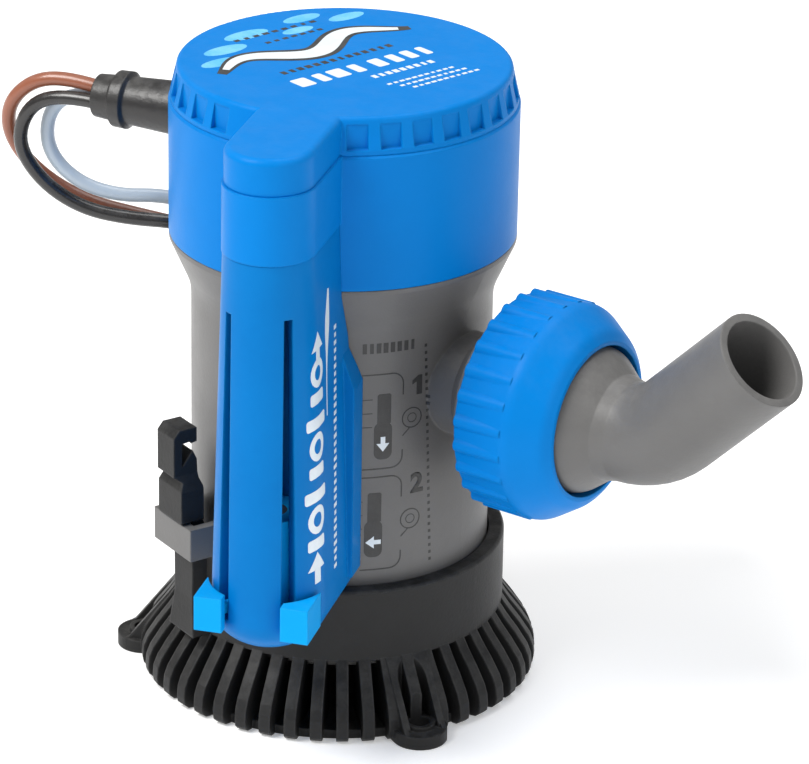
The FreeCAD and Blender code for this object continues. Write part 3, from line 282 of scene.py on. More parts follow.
@dataclass(frozen=True)
class Finish:
    """A moulded, rubber, plated or printed surface.

    The colours are linear. grain_scale is in patterns per metre, grain_depth in metres,
    and edge_radius is how far corners look rounded.
    """

    name: str
    colour: Colour
    second: Colour
    # The worn colour serves scuffs and rubbed corners, and on corners it is also a painted highlight.
    wear_and_highlight_colour: Colour
    roughness: float = 0.42
    roughness_swing: float = 0.14
    drift_scale: float = 45.0
    drift: float = 0.6
    grain_scale: float = 2600.0
    grain_depth: float = 0.00002
    edge_radius: float = 0.0005
    # How far corners turn to the worn colour: partly wear, partly a painted highlight.
    edge_wear: float = 0.35
    scuff: float = 0.3
    dust: float = 0.12
    dust_colour: Colour = (0.45, 0.44, 0.42)
    metallic: float = 0.0
    coat: float = 0.0
    coat_roughness: float = 0.12
    specular: float = 0.5
    transmission: float = 0.0

    def material(self) -> bpy.types.Material:
        """Builds the material the first time and returns it."""
        known = bpy.data.materials.get(self.name)
        if known is not None and known.get("dressed"):
            return known
        if known is not None:
            known.name = self.name + ".cad"
        material = bpy.data.materials.new(self.name)
        material["dressed"] = True
        material.use_nodes = True
        graph = Graph(material.node_tree)
        graph.tree.nodes.clear()
        where = graph.add("TexCoord").outputs["Object"]

        def group(tree: bpy.types.NodeTree, **values: object) -> bpy.types.Node:
            """Places a shared effect in this material with its own values."""
            node = graph.add("Group", node_tree=tree)
            graph.link(where, node.inputs["Vector"])
            for key, value in values.items():
                node.inputs[key.replace("_", " ")].default_value = value
            return node

        drift = group(Effects.drift(), Colour=(*self.colour, 1), Second_Colour=(*self.second, 1),
                      Scale=self.drift_scale, Amount=self.drift)
        edges = group(Effects.edges(), Radius=self.edge_radius * 1.6, Amount=self.edge_wear)
        scuffs = group(Effects.scuffs(), Amount=self.scuff)
        dust = group(Effects.dust(), Amount=self.dust)
        grain = group(Effects.grain(), Scale=self.grain_scale, Depth=1.0)

        # Corners take the lighter worn colour: partly real wear, partly a painted highlight along every edge.
        rubbed_and_lit = graph.mixed(edges.outputs["Mask"], drift.outputs["Colour"], self.wear_and_highlight_colour)
        scuffed = graph.mixed(graph.maths("MULTIPLY", scuffs.outputs["Mask"], 0.22), rubbed_and_lit, self.wear_and_highlight_colour)
        colour = graph.mixed(dust.outputs["Mask"], scuffed, self.dust_colour)

        rough = graph.maths("ADD", graph.maths("MULTIPLY", drift.outputs["Mask"], self.roughness_swing),
                            self.roughness - self.roughness_swing / 2)
        rough = graph.maths("ADD", rough, graph.maths("MULTIPLY", scuffs.outputs["Mask"], 0.18))
        rough = graph.maths("ADD", rough, graph.maths("MULTIPLY", dust.outputs["Mask"], 0.3), clamp=True)

        rounded = graph.add("Bevel", samples=6, Radius=self.edge_radius)
        bump = graph.add("Bump", Strength=1.0, Distance=self.grain_depth)
        graph.link(graph.maths("SUBTRACT", grain.outputs["Height"],
                               graph.maths("MULTIPLY", scuffs.outputs["Mask"], 0.25)), bump.inputs["Height"])
        graph.link(rounded.outputs["Normal"], bump.inputs["Normal"])

        shader = graph.add("BsdfPrincipled", Metallic=self.metallic, Coat_Weight=self.coat,
                           Coat_Roughness=self.coat_roughness, Specular_IOR_Level=self.specular,
                           Transmission_Weight=self.transmission)
        graph.link(colour, shader.inputs["Base Color"])
        graph.link(rough, shader.inputs["Roughness"])
        graph.link(bump.outputs["Normal"], shader.inputs["Normal"])
        out = graph.add("OutputMaterial")
        graph.link(shader.outputs["BSDF"], out.inputs["Surface"])
        return material


def moulding(name: str, colour: Colour, second: Colour, wear_and_highlight_colour: Colour, **more: object) -> Finish:
    """A satin injection moulding."""
    return Finish(name, colour, second, wear_and_highlight_colour, **more)


def metal(name: str, colour: Colour, second: Colour, **more: object) -> Finish:
    """A bare or plated metal."""
    values = {"roughness": 0.34, "metallic": 1.0, "grain_depth": 0.000008, "scuff": 0.5, "dust": 0.05,
              "edge_wear": 0.25, "edge_radius": 0.0003}
    values.update(more)
    # The worn colour is the metal made lighter; on corners it is partly a painted highlight.
    return Finish(name, colour, second, tuple(min(1.0, c * 1.25) for c in colour), **values)


BLUE = {"roughness": 0.42, "specular": 0.07, "dust": 0.02, "grain_depth": 0.000012}
INK = {"edge_wear": 0.0, "edge_radius": 0.00005, "dust": 0.05}
WIRE = {"grain_scale": 3000.0, "grain_depth": 0.00001, "edge_wear": 0.0}

FINISHES: dict[str, Finish] = {f.name: f for f in (
    # The cap's blue is the column's blue made lighter and greener: painted light for the cap's brightly lit
    # top.
    moulding("cap_blue", (0.0, 0.188, 0.580), (0.0, 0.168, 0.525), (0.0, 0.27, 0.72), **BLUE),
    moulding("column_blue", (0.0, 0.164, 0.490), (0.0, 0.142, 0.440), (0.0, 0.25, 0.65), **BLUE),
    moulding("float_blue", (0.0, 0.330, 0.780), (0.0, 0.300, 0.720), (0.03, 0.46, 0.86),
             roughness=0.4, specular=0.08, dust=0.02, grain_depth=0.00001),
    moulding("housing_grey", (0.132, 0.130, 0.128), (0.114, 0.112, 0.110), (0.24, 0.235, 0.23),
             roughness=0.42, specular=0.35, grain_scale=2200.0, grain_depth=0.00003, edge_wear=0.3),
    # The base's strong edge wear also paints a light line along its top edge: a painted highlight.
    moulding("base_charcoal", (0.018, 0.018, 0.018), (0.014, 0.014, 0.0145), (0.075, 0.075, 0.075),
             roughness=0.5, specular=0.2, grain_scale=1900.0, grain_depth=0.00004, edge_wear=0.5, dust=0.08),
    moulding("inner_black", (0.020, 0.020, 0.021), (0.014, 0.014, 0.015), (0.07, 0.07, 0.07),
             roughness=0.46, grain_depth=0.00003),
    moulding("seal_rubber", (0.012, 0.012, 0.012), (0.020, 0.020, 0.020), (0.06, 0.06, 0.06),
             roughness=0.62, grain_depth=0.00002, edge_wear=0.1),
    moulding("boot_rubber", (0.016, 0.015, 0.015), (0.026, 0.025, 0.024), (0.10, 0.10, 0.10),
             roughness=0.38, grain_scale=900.0, grain_depth=0.00008, edge_wear=0.15),
    moulding("tie_black", (0.018, 0.018, 0.018), (0.012, 0.012, 0.012), (0.08, 0.08, 0.08),
             roughness=0.36, grain_depth=0.00001),
    moulding("carbon", (0.028, 0.028, 0.030), (0.018, 0.018, 0.020), (0.10, 0.10, 0.11),
             roughness=0.58, grain_scale=4200.0, grain_depth=0.00002),
    moulding("board_green", (0.012, 0.085, 0.030), (0.010, 0.070, 0.024), (0.08, 0.20, 0.10),
             roughness=0.30, coat=0.3, grain_depth=0.000006),
    moulding("glass_clear", (0.80, 0.88, 0.84), (0.72, 0.82, 0.78), (0.9, 0.95, 0.92),
             roughness=0.08, roughness_swing=0.04, grain_depth=0.000002, transmission=0.85),
    moulding("lead_brown", (0.270, 0.085, 0.042), (0.220, 0.066, 0.032), (0.42, 0.20, 0.12),
             roughness=0.34, coat=0.2, **WIRE),
    moulding("lead_black", (0.014, 0.013, 0.013), (0.022, 0.020, 0.020), (0.09, 0.09, 0.09),
             roughness=0.30, coat=0.25, **WIRE),
    moulding("lead_white", (0.480, 0.560, 0.640), (0.400, 0.480, 0.560), (0.70, 0.76, 0.80),
             roughness=0.34, coat=0.2, **WIRE),
    metal("zinc_steel", (0.58, 0.58, 0.60), (0.50, 0.50, 0.53)),
    metal("core_steel", (0.36, 0.36, 0.38), (0.28, 0.28, 0.30), roughness=0.42),
    metal("bronze", (0.62, 0.44, 0.22), (0.50, 0.34, 0.17), roughness=0.4),
    metal("copper", (0.80, 0.42, 0.26), (0.70, 0.34, 0.20), roughness=0.3),
    metal("magnet", (0.13, 0.13, 0.14), (0.09, 0.09, 0.10), roughness=0.5, metallic=0.7),
    moulding("ink_white", (0.74, 0.80, 0.84), (0.62, 0.70, 0.76), (0.30, 0.45, 0.62),
             roughness=0.45, drift=0.9, drift_scale=260.0, **INK),
    moulding("ink_black", (0.020, 0.020, 0.020), (0.045, 0.045, 0.045), (0.12, 0.12, 0.12),
             roughness=0.48, drift=0.9, drift_scale=260.0, **INK),
    moulding("ink_sky", (0.18, 0.56, 0.86), (0.05, 0.40, 0.80), (0.40, 0.66, 0.86),
             roughness=0.42, drift=1.0, drift_scale=170.0, **INK),
)}


def dress(piece: bpy.types.Object, finish: str) -> None:
    """Gives a piece one finish."""
    material = FINISHES[finish].material()
    piece.data.materials.clear()
    piece.data.materials.append(material)


def new_piece(name: str, mesh: bpy.types.Mesh, finish: str, body: str = "pump_body") -> bpy.types.Object:
    """Links a finished mesh as a piece that rides on a body.

    Args:
        name: the piece's name.
        mesh: its mesh, in place in the row frame.
        finish: a key of FINISHES.
        body: the CAD body it rides on.

    Returns:
        The new object.
    """
    piece = bpy.data.objects.new(name, mesh)
    bpy.context.scene.collection.objects.link(piece)
    dress(piece, finish)
    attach(piece, body)
    LOG.info("piece %s: %d faces, rides on %s", name, len(mesh.polygons), body)
    return piece


# ---------------------------------------------------------------- studio


@dataclass
class Studio:
    """The camera, the pale floor and the soft lights."""

    eye: Vector = field(default_factory=lambda: Vector((450.6, -622.3, 390.9)) * MM)
    aim: Vector = field(default_factory=lambda: Vector((9.985, 6.992, 58.5)) * MM)
    roll_degrees: float = 1.073
    lens: float = 193.67
    floor_size: float = 6.0

    def place_camera(self) -> None:
        """Sets the scene's camera."""
        camera = bpy.data.objects.new("camera", bpy.data.cameras.new("camera"))
        bpy.context.scene.collection.objects.link(camera)
        camera.data.lens = self.lens
        camera.data.sensor_width = 36.0
        camera.data.clip_start = 0.01
        turn = (self.aim - self.eye).to_track_quat("-Z", "Y").to_matrix().to_4x4()
        roll = Matrix.Rotation(math.radians(self.roll_degrees), 4, "Z")
        camera.matrix_world = Matrix.Translation(self.eye) @ turn @ roll
        bpy.context.scene.camera = camera

    def _softbox(self, name: str, place: Sequence[float], size: float, watts: float, tint: Colour) -> None:
        """One large area light aimed at the pump."""
        lamp = bpy.data.lights.new(name, "AREA")
        lamp.shape = "DISK"
        lamp.size = size
        lamp.energy = watts
        lamp.color = tint
        holder = bpy.data.objects.new(name, lamp)
        bpy.context.scene.collection.objects.link(holder)
        spot = Vector(place)
        aim = (Vector((0, 0, 0.06)) - spot).to_track_quat("-Z", "Y").to_matrix().to_4x4()
        holder.matrix_world = Matrix.Translation(spot) @ aim

    def light(self) -> None:
        """Adds the softboxes and a pale surround."""
        self._softbox("key_softbox", (-0.40, -0.82, 1.18), 0.75, 21.0, (1.0, 0.99, 0.97))
        self._softbox("fill_softbox", (1.1, -0.25, 0.55), 0.9, 3.4, (0.97, 0.985, 1.0))
        self._softbox("top_softbox", (0.1, 0.35, 1.25), 0.8, 6.0, (1.0, 1.0, 1.0))
        world = bpy.data.worlds.new("surround")
        world.use_nodes = True
        graph = Graph(world.node_tree)
        graph.tree.nodes.clear()
        background = graph.add("Background", Color=(1.0, 1.0, 1.0, 1.0), Strength=0.36)
        graph.link(background.outputs[0], graph.add("OutputWorld").inputs["Surface"])
        bpy.context.scene.world = world
        bpy.context.scene.view_settings.view_transform = "Standard"

    def lay_floor(self) -> None:
        """A wide pale floor just under the pump."""
        mesh = bpy.data.meshes.new("floor")
        half = self.floor_size / 2
        low = CAD_BOX[0][2] - 0.00005
        mesh.from_pydata([(-half, -half, low), (half, -half, low), (half, half, low), (-half, half, low)],
                         [], [(0, 1, 2, 3)])
        floor = bpy.data.objects.new("floor", mesh)
        bpy.context.scene.collection.objects.link(floor)
        material = bpy.data.materials.new("pale_floor")
        material.use_nodes = True
        graph = Graph(material.node_tree)
        shader = graph.tree.nodes["Principled BSDF"]
        shader.inputs["Roughness"].default_value = 0.65
        shader.inputs["Specular IOR Level"].default_value = 0.1
        shader.inputs["Emission Color"].default_value = (1.0, 1.0, 1.0, 1.0)
        shader.inputs["Emission Strength"].default_value = 0.26
        where = graph.add("TexCoord").outputs["Object"]
        noise = graph.add("TexNoise", Scale=40.0, Detail=4.0)
        graph.link(where, noise.inputs["Vector"])
        graph.link(graph.mixed(noise.outputs["Fac"], (0.90, 0.90, 0.90), (0.93, 0.93, 0.93)),
                   shader.inputs["Base Color"])
        floor.data.materials.append(material)


# ---------------------------------------------------------------- leads


@dataclass(frozen=True)
class Lead:
    """One insulated lead: its route in millimetres, its two layers in the coil and its stripped end."""

    name: str
    finish: str
    route: tuple[tuple[float, float, float], ...]
    tail: tuple[tuple[float, float, float], ...]
    layer: float
    start_degrees: float
    end_degrees: float


@dataclass
class LeadSet:
    """The three leads from the cable boot to their stripped ends, with the tied coil between."""

    diameter: float = 2.8
    coil_centre: tuple[float, float] = (-38.0, 54.0)
    outer_lane: float = 20.72
    lane_step: float = 2.9
    layer_step: float = 2.86
    steps_per_turn: int = 16
    leads: tuple[Lead, ...] = (
        Lead("brown_wire", "lead_brown", (
            (-50.37, -10.71, 110.22), (-57.0, -12.2, 111.2), (-64.0, -14.6, 109.8), (-69.6, -15.4, 103.8),
            (-71.4, -12.6, 95.6), (-67.6, -8.4, 87.9), (-60.0, -3.4, 82.3), (-50.5, 1.6, 80.2),
            (-42.5, 8.0, 77.6), (-37.5, 16.5, 71.5), (-35.0, 25.5, 60.0), (-30.5, 32.0, 46.0),
            (-25.6, 37.8, 33.0), (-20.6, 43.6, 21.6), (-17.4, 50.6, 12.6), (-17.6, 58.2, 8.0)),
            ((-59.2, 59.3, 10.3), (-61.2, 52.8, 9.2), (-61.4, 46.6, 7.9)), 7.9, 30.0, 150.0),
        Lead("black_wire", "lead_black", (
            (-50.05, -12.23, 107.7), (-57.0, -14.0, 108.2), (-63.8, -15.8, 105.2), (-66.6, -16.4, 97.0),
            (-63.6, -12.9, 88.6), (-57.4, -8.2, 83.0), (-49.6, -3.4, 81.2), (-41.2, 2.6, 80.6),
            (-34.8, 10.6, 76.2), (-31.0, 18.2, 66.0), (-28.2, 24.0, 53.0), (-24.5, 28.5, 39.5),
            (-20.8, 33.2, 26.4), (-18.4, 38.6, 14.4), (-17.2, 44.8, 5.6), (-17.6, 52.2, 2.2)),
            ((-56.2, 66.2, 4.6), (-60.6, 60.6, 3.6), (-63.2, 54.8, 2.6)), 2.12, 14.0, 128.0),
        Lead("white_wire", "lead_white", (
            (-50.70, -9.19, 107.7), (-57.6, -10.3, 107.6), (-63.0, -11.2, 102.6), (-63.4, -11.0, 94.4),
            (-58.8, -7.8, 88.0), (-52.4, -3.0, 85.2), (-46.0, 2.4, 85.2), (-40.0, 9.0, 82.6),
            (-37.0, 17.6, 77.6), (-37.4, 27.0, 69.0), (-37.2, 34.0, 57.0), (-33.5, 38.5, 43.0),
            (-28.4, 43.6, 31.4), (-22.6, 49.6, 22.4), (-18.8, 56.8, 16.4), (-19.8, 63.8, 13.6)),
            ((-60.1, 53.2, 16.0), (-59.9, 46.8, 15.0), (-57.6, 41.4, 13.8)), 13.6, 46.0, 164.0),
    )

    def coil_points(self, lead: Lead) -> list[Vector]:
        """Winds one lead: inwards on its lower layer, up at the inner lane, and out on the next.

        Args:
            lead: the lead to wind.

        Returns:
            The coil's control points in metres, spread so that the smooth line keeps its lanes.
        """
        turns = 5 + (lead.end_degrees - lead.start_degrees) / 360
        rise = 0.34
        inward = (turns - rise) / 2
        count = round(turns * self.steps_per_turn)
        swell = 2 / (1 + math.cos(2 * math.pi / self.steps_per_turn) ** 0.5)
        points = []
        for index in range(count + 1):
            turn = turns * index / count
            if turn < inward:
                radius, lift = self.outer_lane - self.lane_step * turn, 0.0
            elif turn < inward + rise:
                radius, lift = self.outer_lane - self.lane_step * inward, (turn - inward) / rise
            else:
                radius, lift = self.outer_lane - self.lane_step * (turns - turn), 1.0
            angle = math.radians(lead.start_degrees) + 2 * math.pi * turn
            height = lead.layer + self.layer_step * lift * lift * (3 - 2 * lift)
            points.append(Vector((self.coil_centre[0] + swell * radius * math.cos(angle),
                                  self.coil_centre[1] + swell * radius * math.sin(angle), height)) * MM)
        return points

    def wire(self, lead: Lead) -> bpy.types.Object:
        """One lead as a smooth curve through its route, its coil and its tail."""
        points = [Vector(p) * MM for p in lead.route]
        points += self.coil_points(lead)
        points += [Vector(p) * MM for p in lead.tail]
        curve = bpy.data.curves.new(lead.name, "CURVE")
        curve.dimensions = "3D"
        curve.bevel_depth = self.diameter / 2 * MM
        curve.bevel_resolution = 5
        curve.resolution_u = 6
        curve.use_fill_caps = True
        spline = curve.splines.new("NURBS")
        spline.points.add(len(points) - 1)
        for knot, point in zip(spline.points, points):
            knot.co = (*point, 1.0)
        spline.order_u = 3
        spline.use_endpoint_u = True
        piece = bpy.data.objects.new(lead.name, curve)
        bpy.context.scene.collection.objects.link(piece)
        dress(piece, lead.finish)
        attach(piece, "pump_body")
        return piece

    def length_of(self, piece: bpy.types.Object) -> float:
        """The length of a wire's own line, in metres."""
        bare = piece.copy()
        bare.data = piece.data.copy()
        bare.data.bevel_depth = 0.0
        mesh = bpy.data.meshes.new_from_object(bare)
        line = [v.co for v in mesh.vertices]
        total = sum((b - a).length for a, b in zip(line, line[1:]))
        bpy.data.meshes.remove(mesh)
        bpy.data.objects.remove(bare)
        return total

    def strand_tree(self) -> bpy.types.NodeTree:
        """Geometry nodes for a stripped end: six strands laid round a core, with cut ends."""
        grower = Grower("stripped_strands", (
            ("Length", "NodeSocketFloat", 0.007), ("Strand Radius", "NodeSocketFloat", 0.00034),
            ("Turns", "NodeSocketFloat", 0.4), ("Strands", "NodeSocketInt", 6)))
        graph, ins = grower.graph, grower.ins
        lay = graph.maths("MULTIPLY", ins.outputs["Strand Radius"], 2.02)
        spiral = graph.add("GeometryNodeCurveSpiral", Resolution=14)
        graph.link(ins.outputs["Turns"], spiral.inputs["Rotations"])
        graph.link(lay, spiral.inputs["Start Radius"])
        graph.link(lay, spiral.inputs["End Radius"])
        graph.link(ins.outputs["Length"], spiral.inputs["Height"])
        ring = graph.add("GeometryNodeMeshCircle", Radius=0.0)
        graph.link(ins.outputs["Strands"], ring.inputs["Vertices"])
        index = graph.add("GeometryNodeInputIndex")
        step = graph.maths("DIVIDE", 2 * math.pi, ins.outputs["Strands"])
        turn = graph.add("CombineXYZ")
        graph.link(graph.maths("MULTIPLY", index.outputs[0], step), turn.inputs["Z"])
        place = graph.add("GeometryNodeInstanceOnPoints")
        graph.link(ring.outputs["Mesh"], place.inputs["Points"])
        graph.link(spiral.outputs["Curve"], place.inputs["Instance"])
        graph.link(turn.outputs["Vector"], place.inputs["Rotation"])
        core = graph.add("GeometryNodeCurvePrimitiveLine")
        tip = graph.add("CombineXYZ")
        graph.link(ins.outputs["Length"], tip.inputs["Z"])
        graph.link(tip.outputs["Vector"], core.inputs["End"])
        both = graph.add("GeometryNodeJoinGeometry")
        graph.link(core.outputs["Curve"], both.inputs["Geometry"])
        graph.link(place.outputs["Instances"], both.inputs["Geometry"])
        loose = graph.add("GeometryNodeRealizeInstances")
        graph.link(both.outputs["Geometry"], loose.inputs["Geometry"])
        profile = graph.add("GeometryNodeCurvePrimitiveCircle", Resolution=10)
        graph.link(ins.outputs["Strand Radius"], profile.inputs["Radius"])
        tube = graph.add("GeometryNodeCurveToMesh")
        tube.inputs["Fill Caps"].default_value = True
        graph.link(loose.outputs["Geometry"], tube.inputs["Curve"])
        graph.link(profile.outputs["Curve"], tube.inputs["Profile Curve"])
        return grower.end(tube.outputs["Mesh"])

    def strands(self, lead: Lead, tree: bpy.types.NodeTree) -> bpy.types.Object:
        """The stripped end of one lead, in place at its tail."""
        copper = FINISHES["copper"].material()
        mesh = grown(tree, {"Material": copper, "Length": 0.0082, "Strand Radius": 0.00034})
        end, before = Vector(lead.tail[-1]) * MM, Vector(lead.tail[-2]) * MM
        heading = (end - before).normalized()
        turn = heading.to_track_quat("Z", "Y").to_matrix().to_4x4()
        mesh.transform(Matrix.Translation(end - heading * 0.0012) @ turn)
        mesh.polygons.foreach_set("use_smooth", [True] * len(mesh.polygons))
        return new_piece(lead.name + "_strands", mesh, "copper")

    def tie(self) -> bpy.types.Object:
        """The ratchet tie round the coil: a band with its head."""
        low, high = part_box("coil_tie")
        band = bmesh.new()
        middle = Vector((*self.coil_centre, 0.0)) * MM
        outward = ((low + high) / 2 - middle)
        outward.z = 0.0
        outward.normalize()
        inner, outer, top, bottom, width = 10.95, 22.65, 17.95, 0.55, 2.2
        corner = 1.6
        path = []
        for cx, cz, first in ((outer - corner, bottom + corner, -90), (outer - corner, top - corner, 0),
                              (inner + corner, top - corner, 90), (inner + corner, bottom + corner, 180)):
            for step in range(7):
                turn = math.radians(first + 15 * step)
                path.append((cx + corner * math.cos(turn), cz + corner * math.sin(turn), turn))
        aside = Vector((-outward.y, outward.x, 0.0))
        section = ((-1, -0.5), (-1, 0.25), (-0.8, 0.45), (0.8, 0.45), (1, 0.25), (1, -0.5))
        rings = []
        for r, z, turn in path:
            normal = outward * math.cos(turn) + Vector((0, 0, 1)) * math.sin(turn)
            spot = middle + outward * (r * MM) + Vector((0, 0, z * MM))
            rings.append([band.verts.new(spot + aside * (side * width / 2 * MM) + normal * (depth * MM))
                          for side, depth in section])
        for one, other in zip(rings, rings[1:] + rings[:1]):
            for index in range(len(one)):
                after = (index + 1) % len(one)
                band.faces.new((one[index], one[after], other[after], other[index]))
        head = bmesh.ops.create_cube(band, size=1.0)["verts"]
        frame_axes = Matrix((outward, aside, Vector((0, 0, 1)))).transposed().to_4x4()
        spot = middle + outward * (outer * MM + 0.0001) + Vector((0, 0, 0.0105))
        shape = Matrix.Diagonal((0.0022, 0.0042, 0.0042, 1.0))
        bmesh.ops.transform(band, matrix=Matrix.Translation(spot) @ frame_axes @ shape, verts=head)
        bmesh.ops.recalc_face_normals(band, faces=band.faces)
        edges = [e for e in band.edges if e.verts[0] in head and e.verts[1] in head]
        bmesh.ops.bevel(band, geom=edges, offset=0.0004, segments=3, affect="EDGES", profile=0.6)
        mesh = bpy.data.meshes.new("coil_tie_band")
        band.to_mesh(mesh)
        band.free()
        smooth(mesh, 40)
        piece = new_piece("coil_tie_band", mesh, "tie_black")
        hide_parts("coil_tie")
        return piece

    def build(self) -> None:
        tie = self.tie()
        tree = self.strand_tree()
        for index, lead in enumerate(self.leads):
            wire = self.wire(lead)
            end = self.strands(lead, tree)
            nodes = [lead.finish.replace("lead_", "") + "_lead"]
            if index == 0:
                nodes.append("lead_coil")
                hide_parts("lead_tips")
            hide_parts(*nodes)
            length = self.length_of(wire)
            LOG.info("lead %s: %.3f m", lead.name, length)


class Grower:
    """A geometry node tree with named inputs that ends in one dressed, realised mesh."""

    def __init__(self, name: str, inputs: Sequence[tuple[str, str, object]]) -> None:
        """Makes the tree and its sockets; a material input is added to the given ones."""
        self.tree = bpy.data.node_groups.new(name, "GeometryNodeTree")
        self.tree.is_modifier = True
        for label, kind, value in (*inputs, ("Material", "NodeSocketMaterial", None)):
            socket = self.tree.interface.new_socket(label, in_out="INPUT", socket_type=kind)
            if value is not None:
                socket.default_value = value
        self.tree.interface.new_socket("Geometry", in_out="OUTPUT", socket_type="NodeSocketGeometry")
        self.graph = Graph(self.tree)
        self.ins = self.graph.add("NodeGroupInput")
        self.outs = self.graph.add("NodeGroupOutput")

    def end(self, geometry: bpy.types.NodeSocket) -> bpy.types.NodeTree:
        """Realises the instances, sets the material and returns the finished tree."""
        real = self.graph.add("GeometryNodeRealizeInstances")
        self.graph.link(geometry, real.inputs["Geometry"])
        dressed = self.graph.add("GeometryNodeSetMaterial")
        self.graph.link(real.outputs["Geometry"], dressed.inputs["Geometry"])
        self.graph.link(self.ins.outputs["Material"], dressed.inputs["Material"])
        self.graph.link(dressed.outputs["Geometry"], self.outs.inputs["Geometry"])
        return self.tree


def grown(tree: bpy.types.NodeTree, values: dict[str, object]) -> bpy.types.Mesh:
    """Runs a geometry node tree once and keeps its result.

    Args:
        tree: the tree, which takes no geometry.
        values: its inputs by name.

    Returns:
        A plain mesh.
    """
    holder = bpy.data.objects.new("grower", bpy.data.meshes.new("grower"))
    bpy.context.scene.collection.objects.link(holder)
    modifier = holder.modifiers.new("grow", "NODES")
    modifier.node_group = tree
    for item in tree.interface.items_tree:
        if item.item_type == "SOCKET" and item.in_out == "INPUT" and item.name in values:
            modifier[item.identifier] = values[item.name]
    graph = bpy.context.evaluated_depsgraph_get()
    mesh = bpy.data.meshes.new_from_object(holder.evaluated_get(graph), depsgraph=graph)
    holder.modifiers.clear()
    bpy.data.objects.remove(holder)
    return mesh


def smooth(mesh: bpy.types.Mesh, degrees: float) -> None:
    """Smooth shading with edges over an angle kept sharp."""
    mesh.polygons.foreach_set("use_smooth", [True] * len(mesh.polygons))
    mesh.set_sharp_from_angle(angle=math.radians(degrees))


# ---------------------------------------------------------------- prints


class Ink(Enum):
    """The inks of the pad printed marks, with how far each stands proud in millimetres."""

    SKY = ("ink_sky", 0.02)
    BLACK = ("ink_black", 0.035)
    WHITE = ("ink_white", 0.05)

    @property
    def finish(self) -> str:
        """The ink's finish."""
        return self.value[0]

    @property
    def proud(self) -> float:
        """How far the ink stands off the moulding, in metres."""
        return self.value[1] * MM


@dataclass(frozen=True)
class Ground:
    """A place on a CAD node that takes print.

    A flat ground looks along inward from its origin. A wrapped one looks at the pump's axis, and its
    across distance runs round a cylinder of that radius. Lengths are in millimetres.
    """

    node: str
    origin: Vector
    across: Vector
    up: Vector
    inward: Vector
    wrap: float = 0.0
    start_degrees: float = 0.0

    def ray(self, spot: Point2) -> tuple[Vector, Vector]:
        """Where the line of sight at one print coordinate starts, and its direction."""
        if self.wrap:
            angle = self.start_degrees + math.degrees(spot[0] / self.wrap)
            outside = polar(self.wrap + 2.5, angle, spot[1])
            return outside, -Vector((outside.x, outside.y, 0.0)).normalized()
        place = self.origin + self.across * spot[0] + self.up * spot[1] - self.inward * 30.0
        return place * MM, self.inward


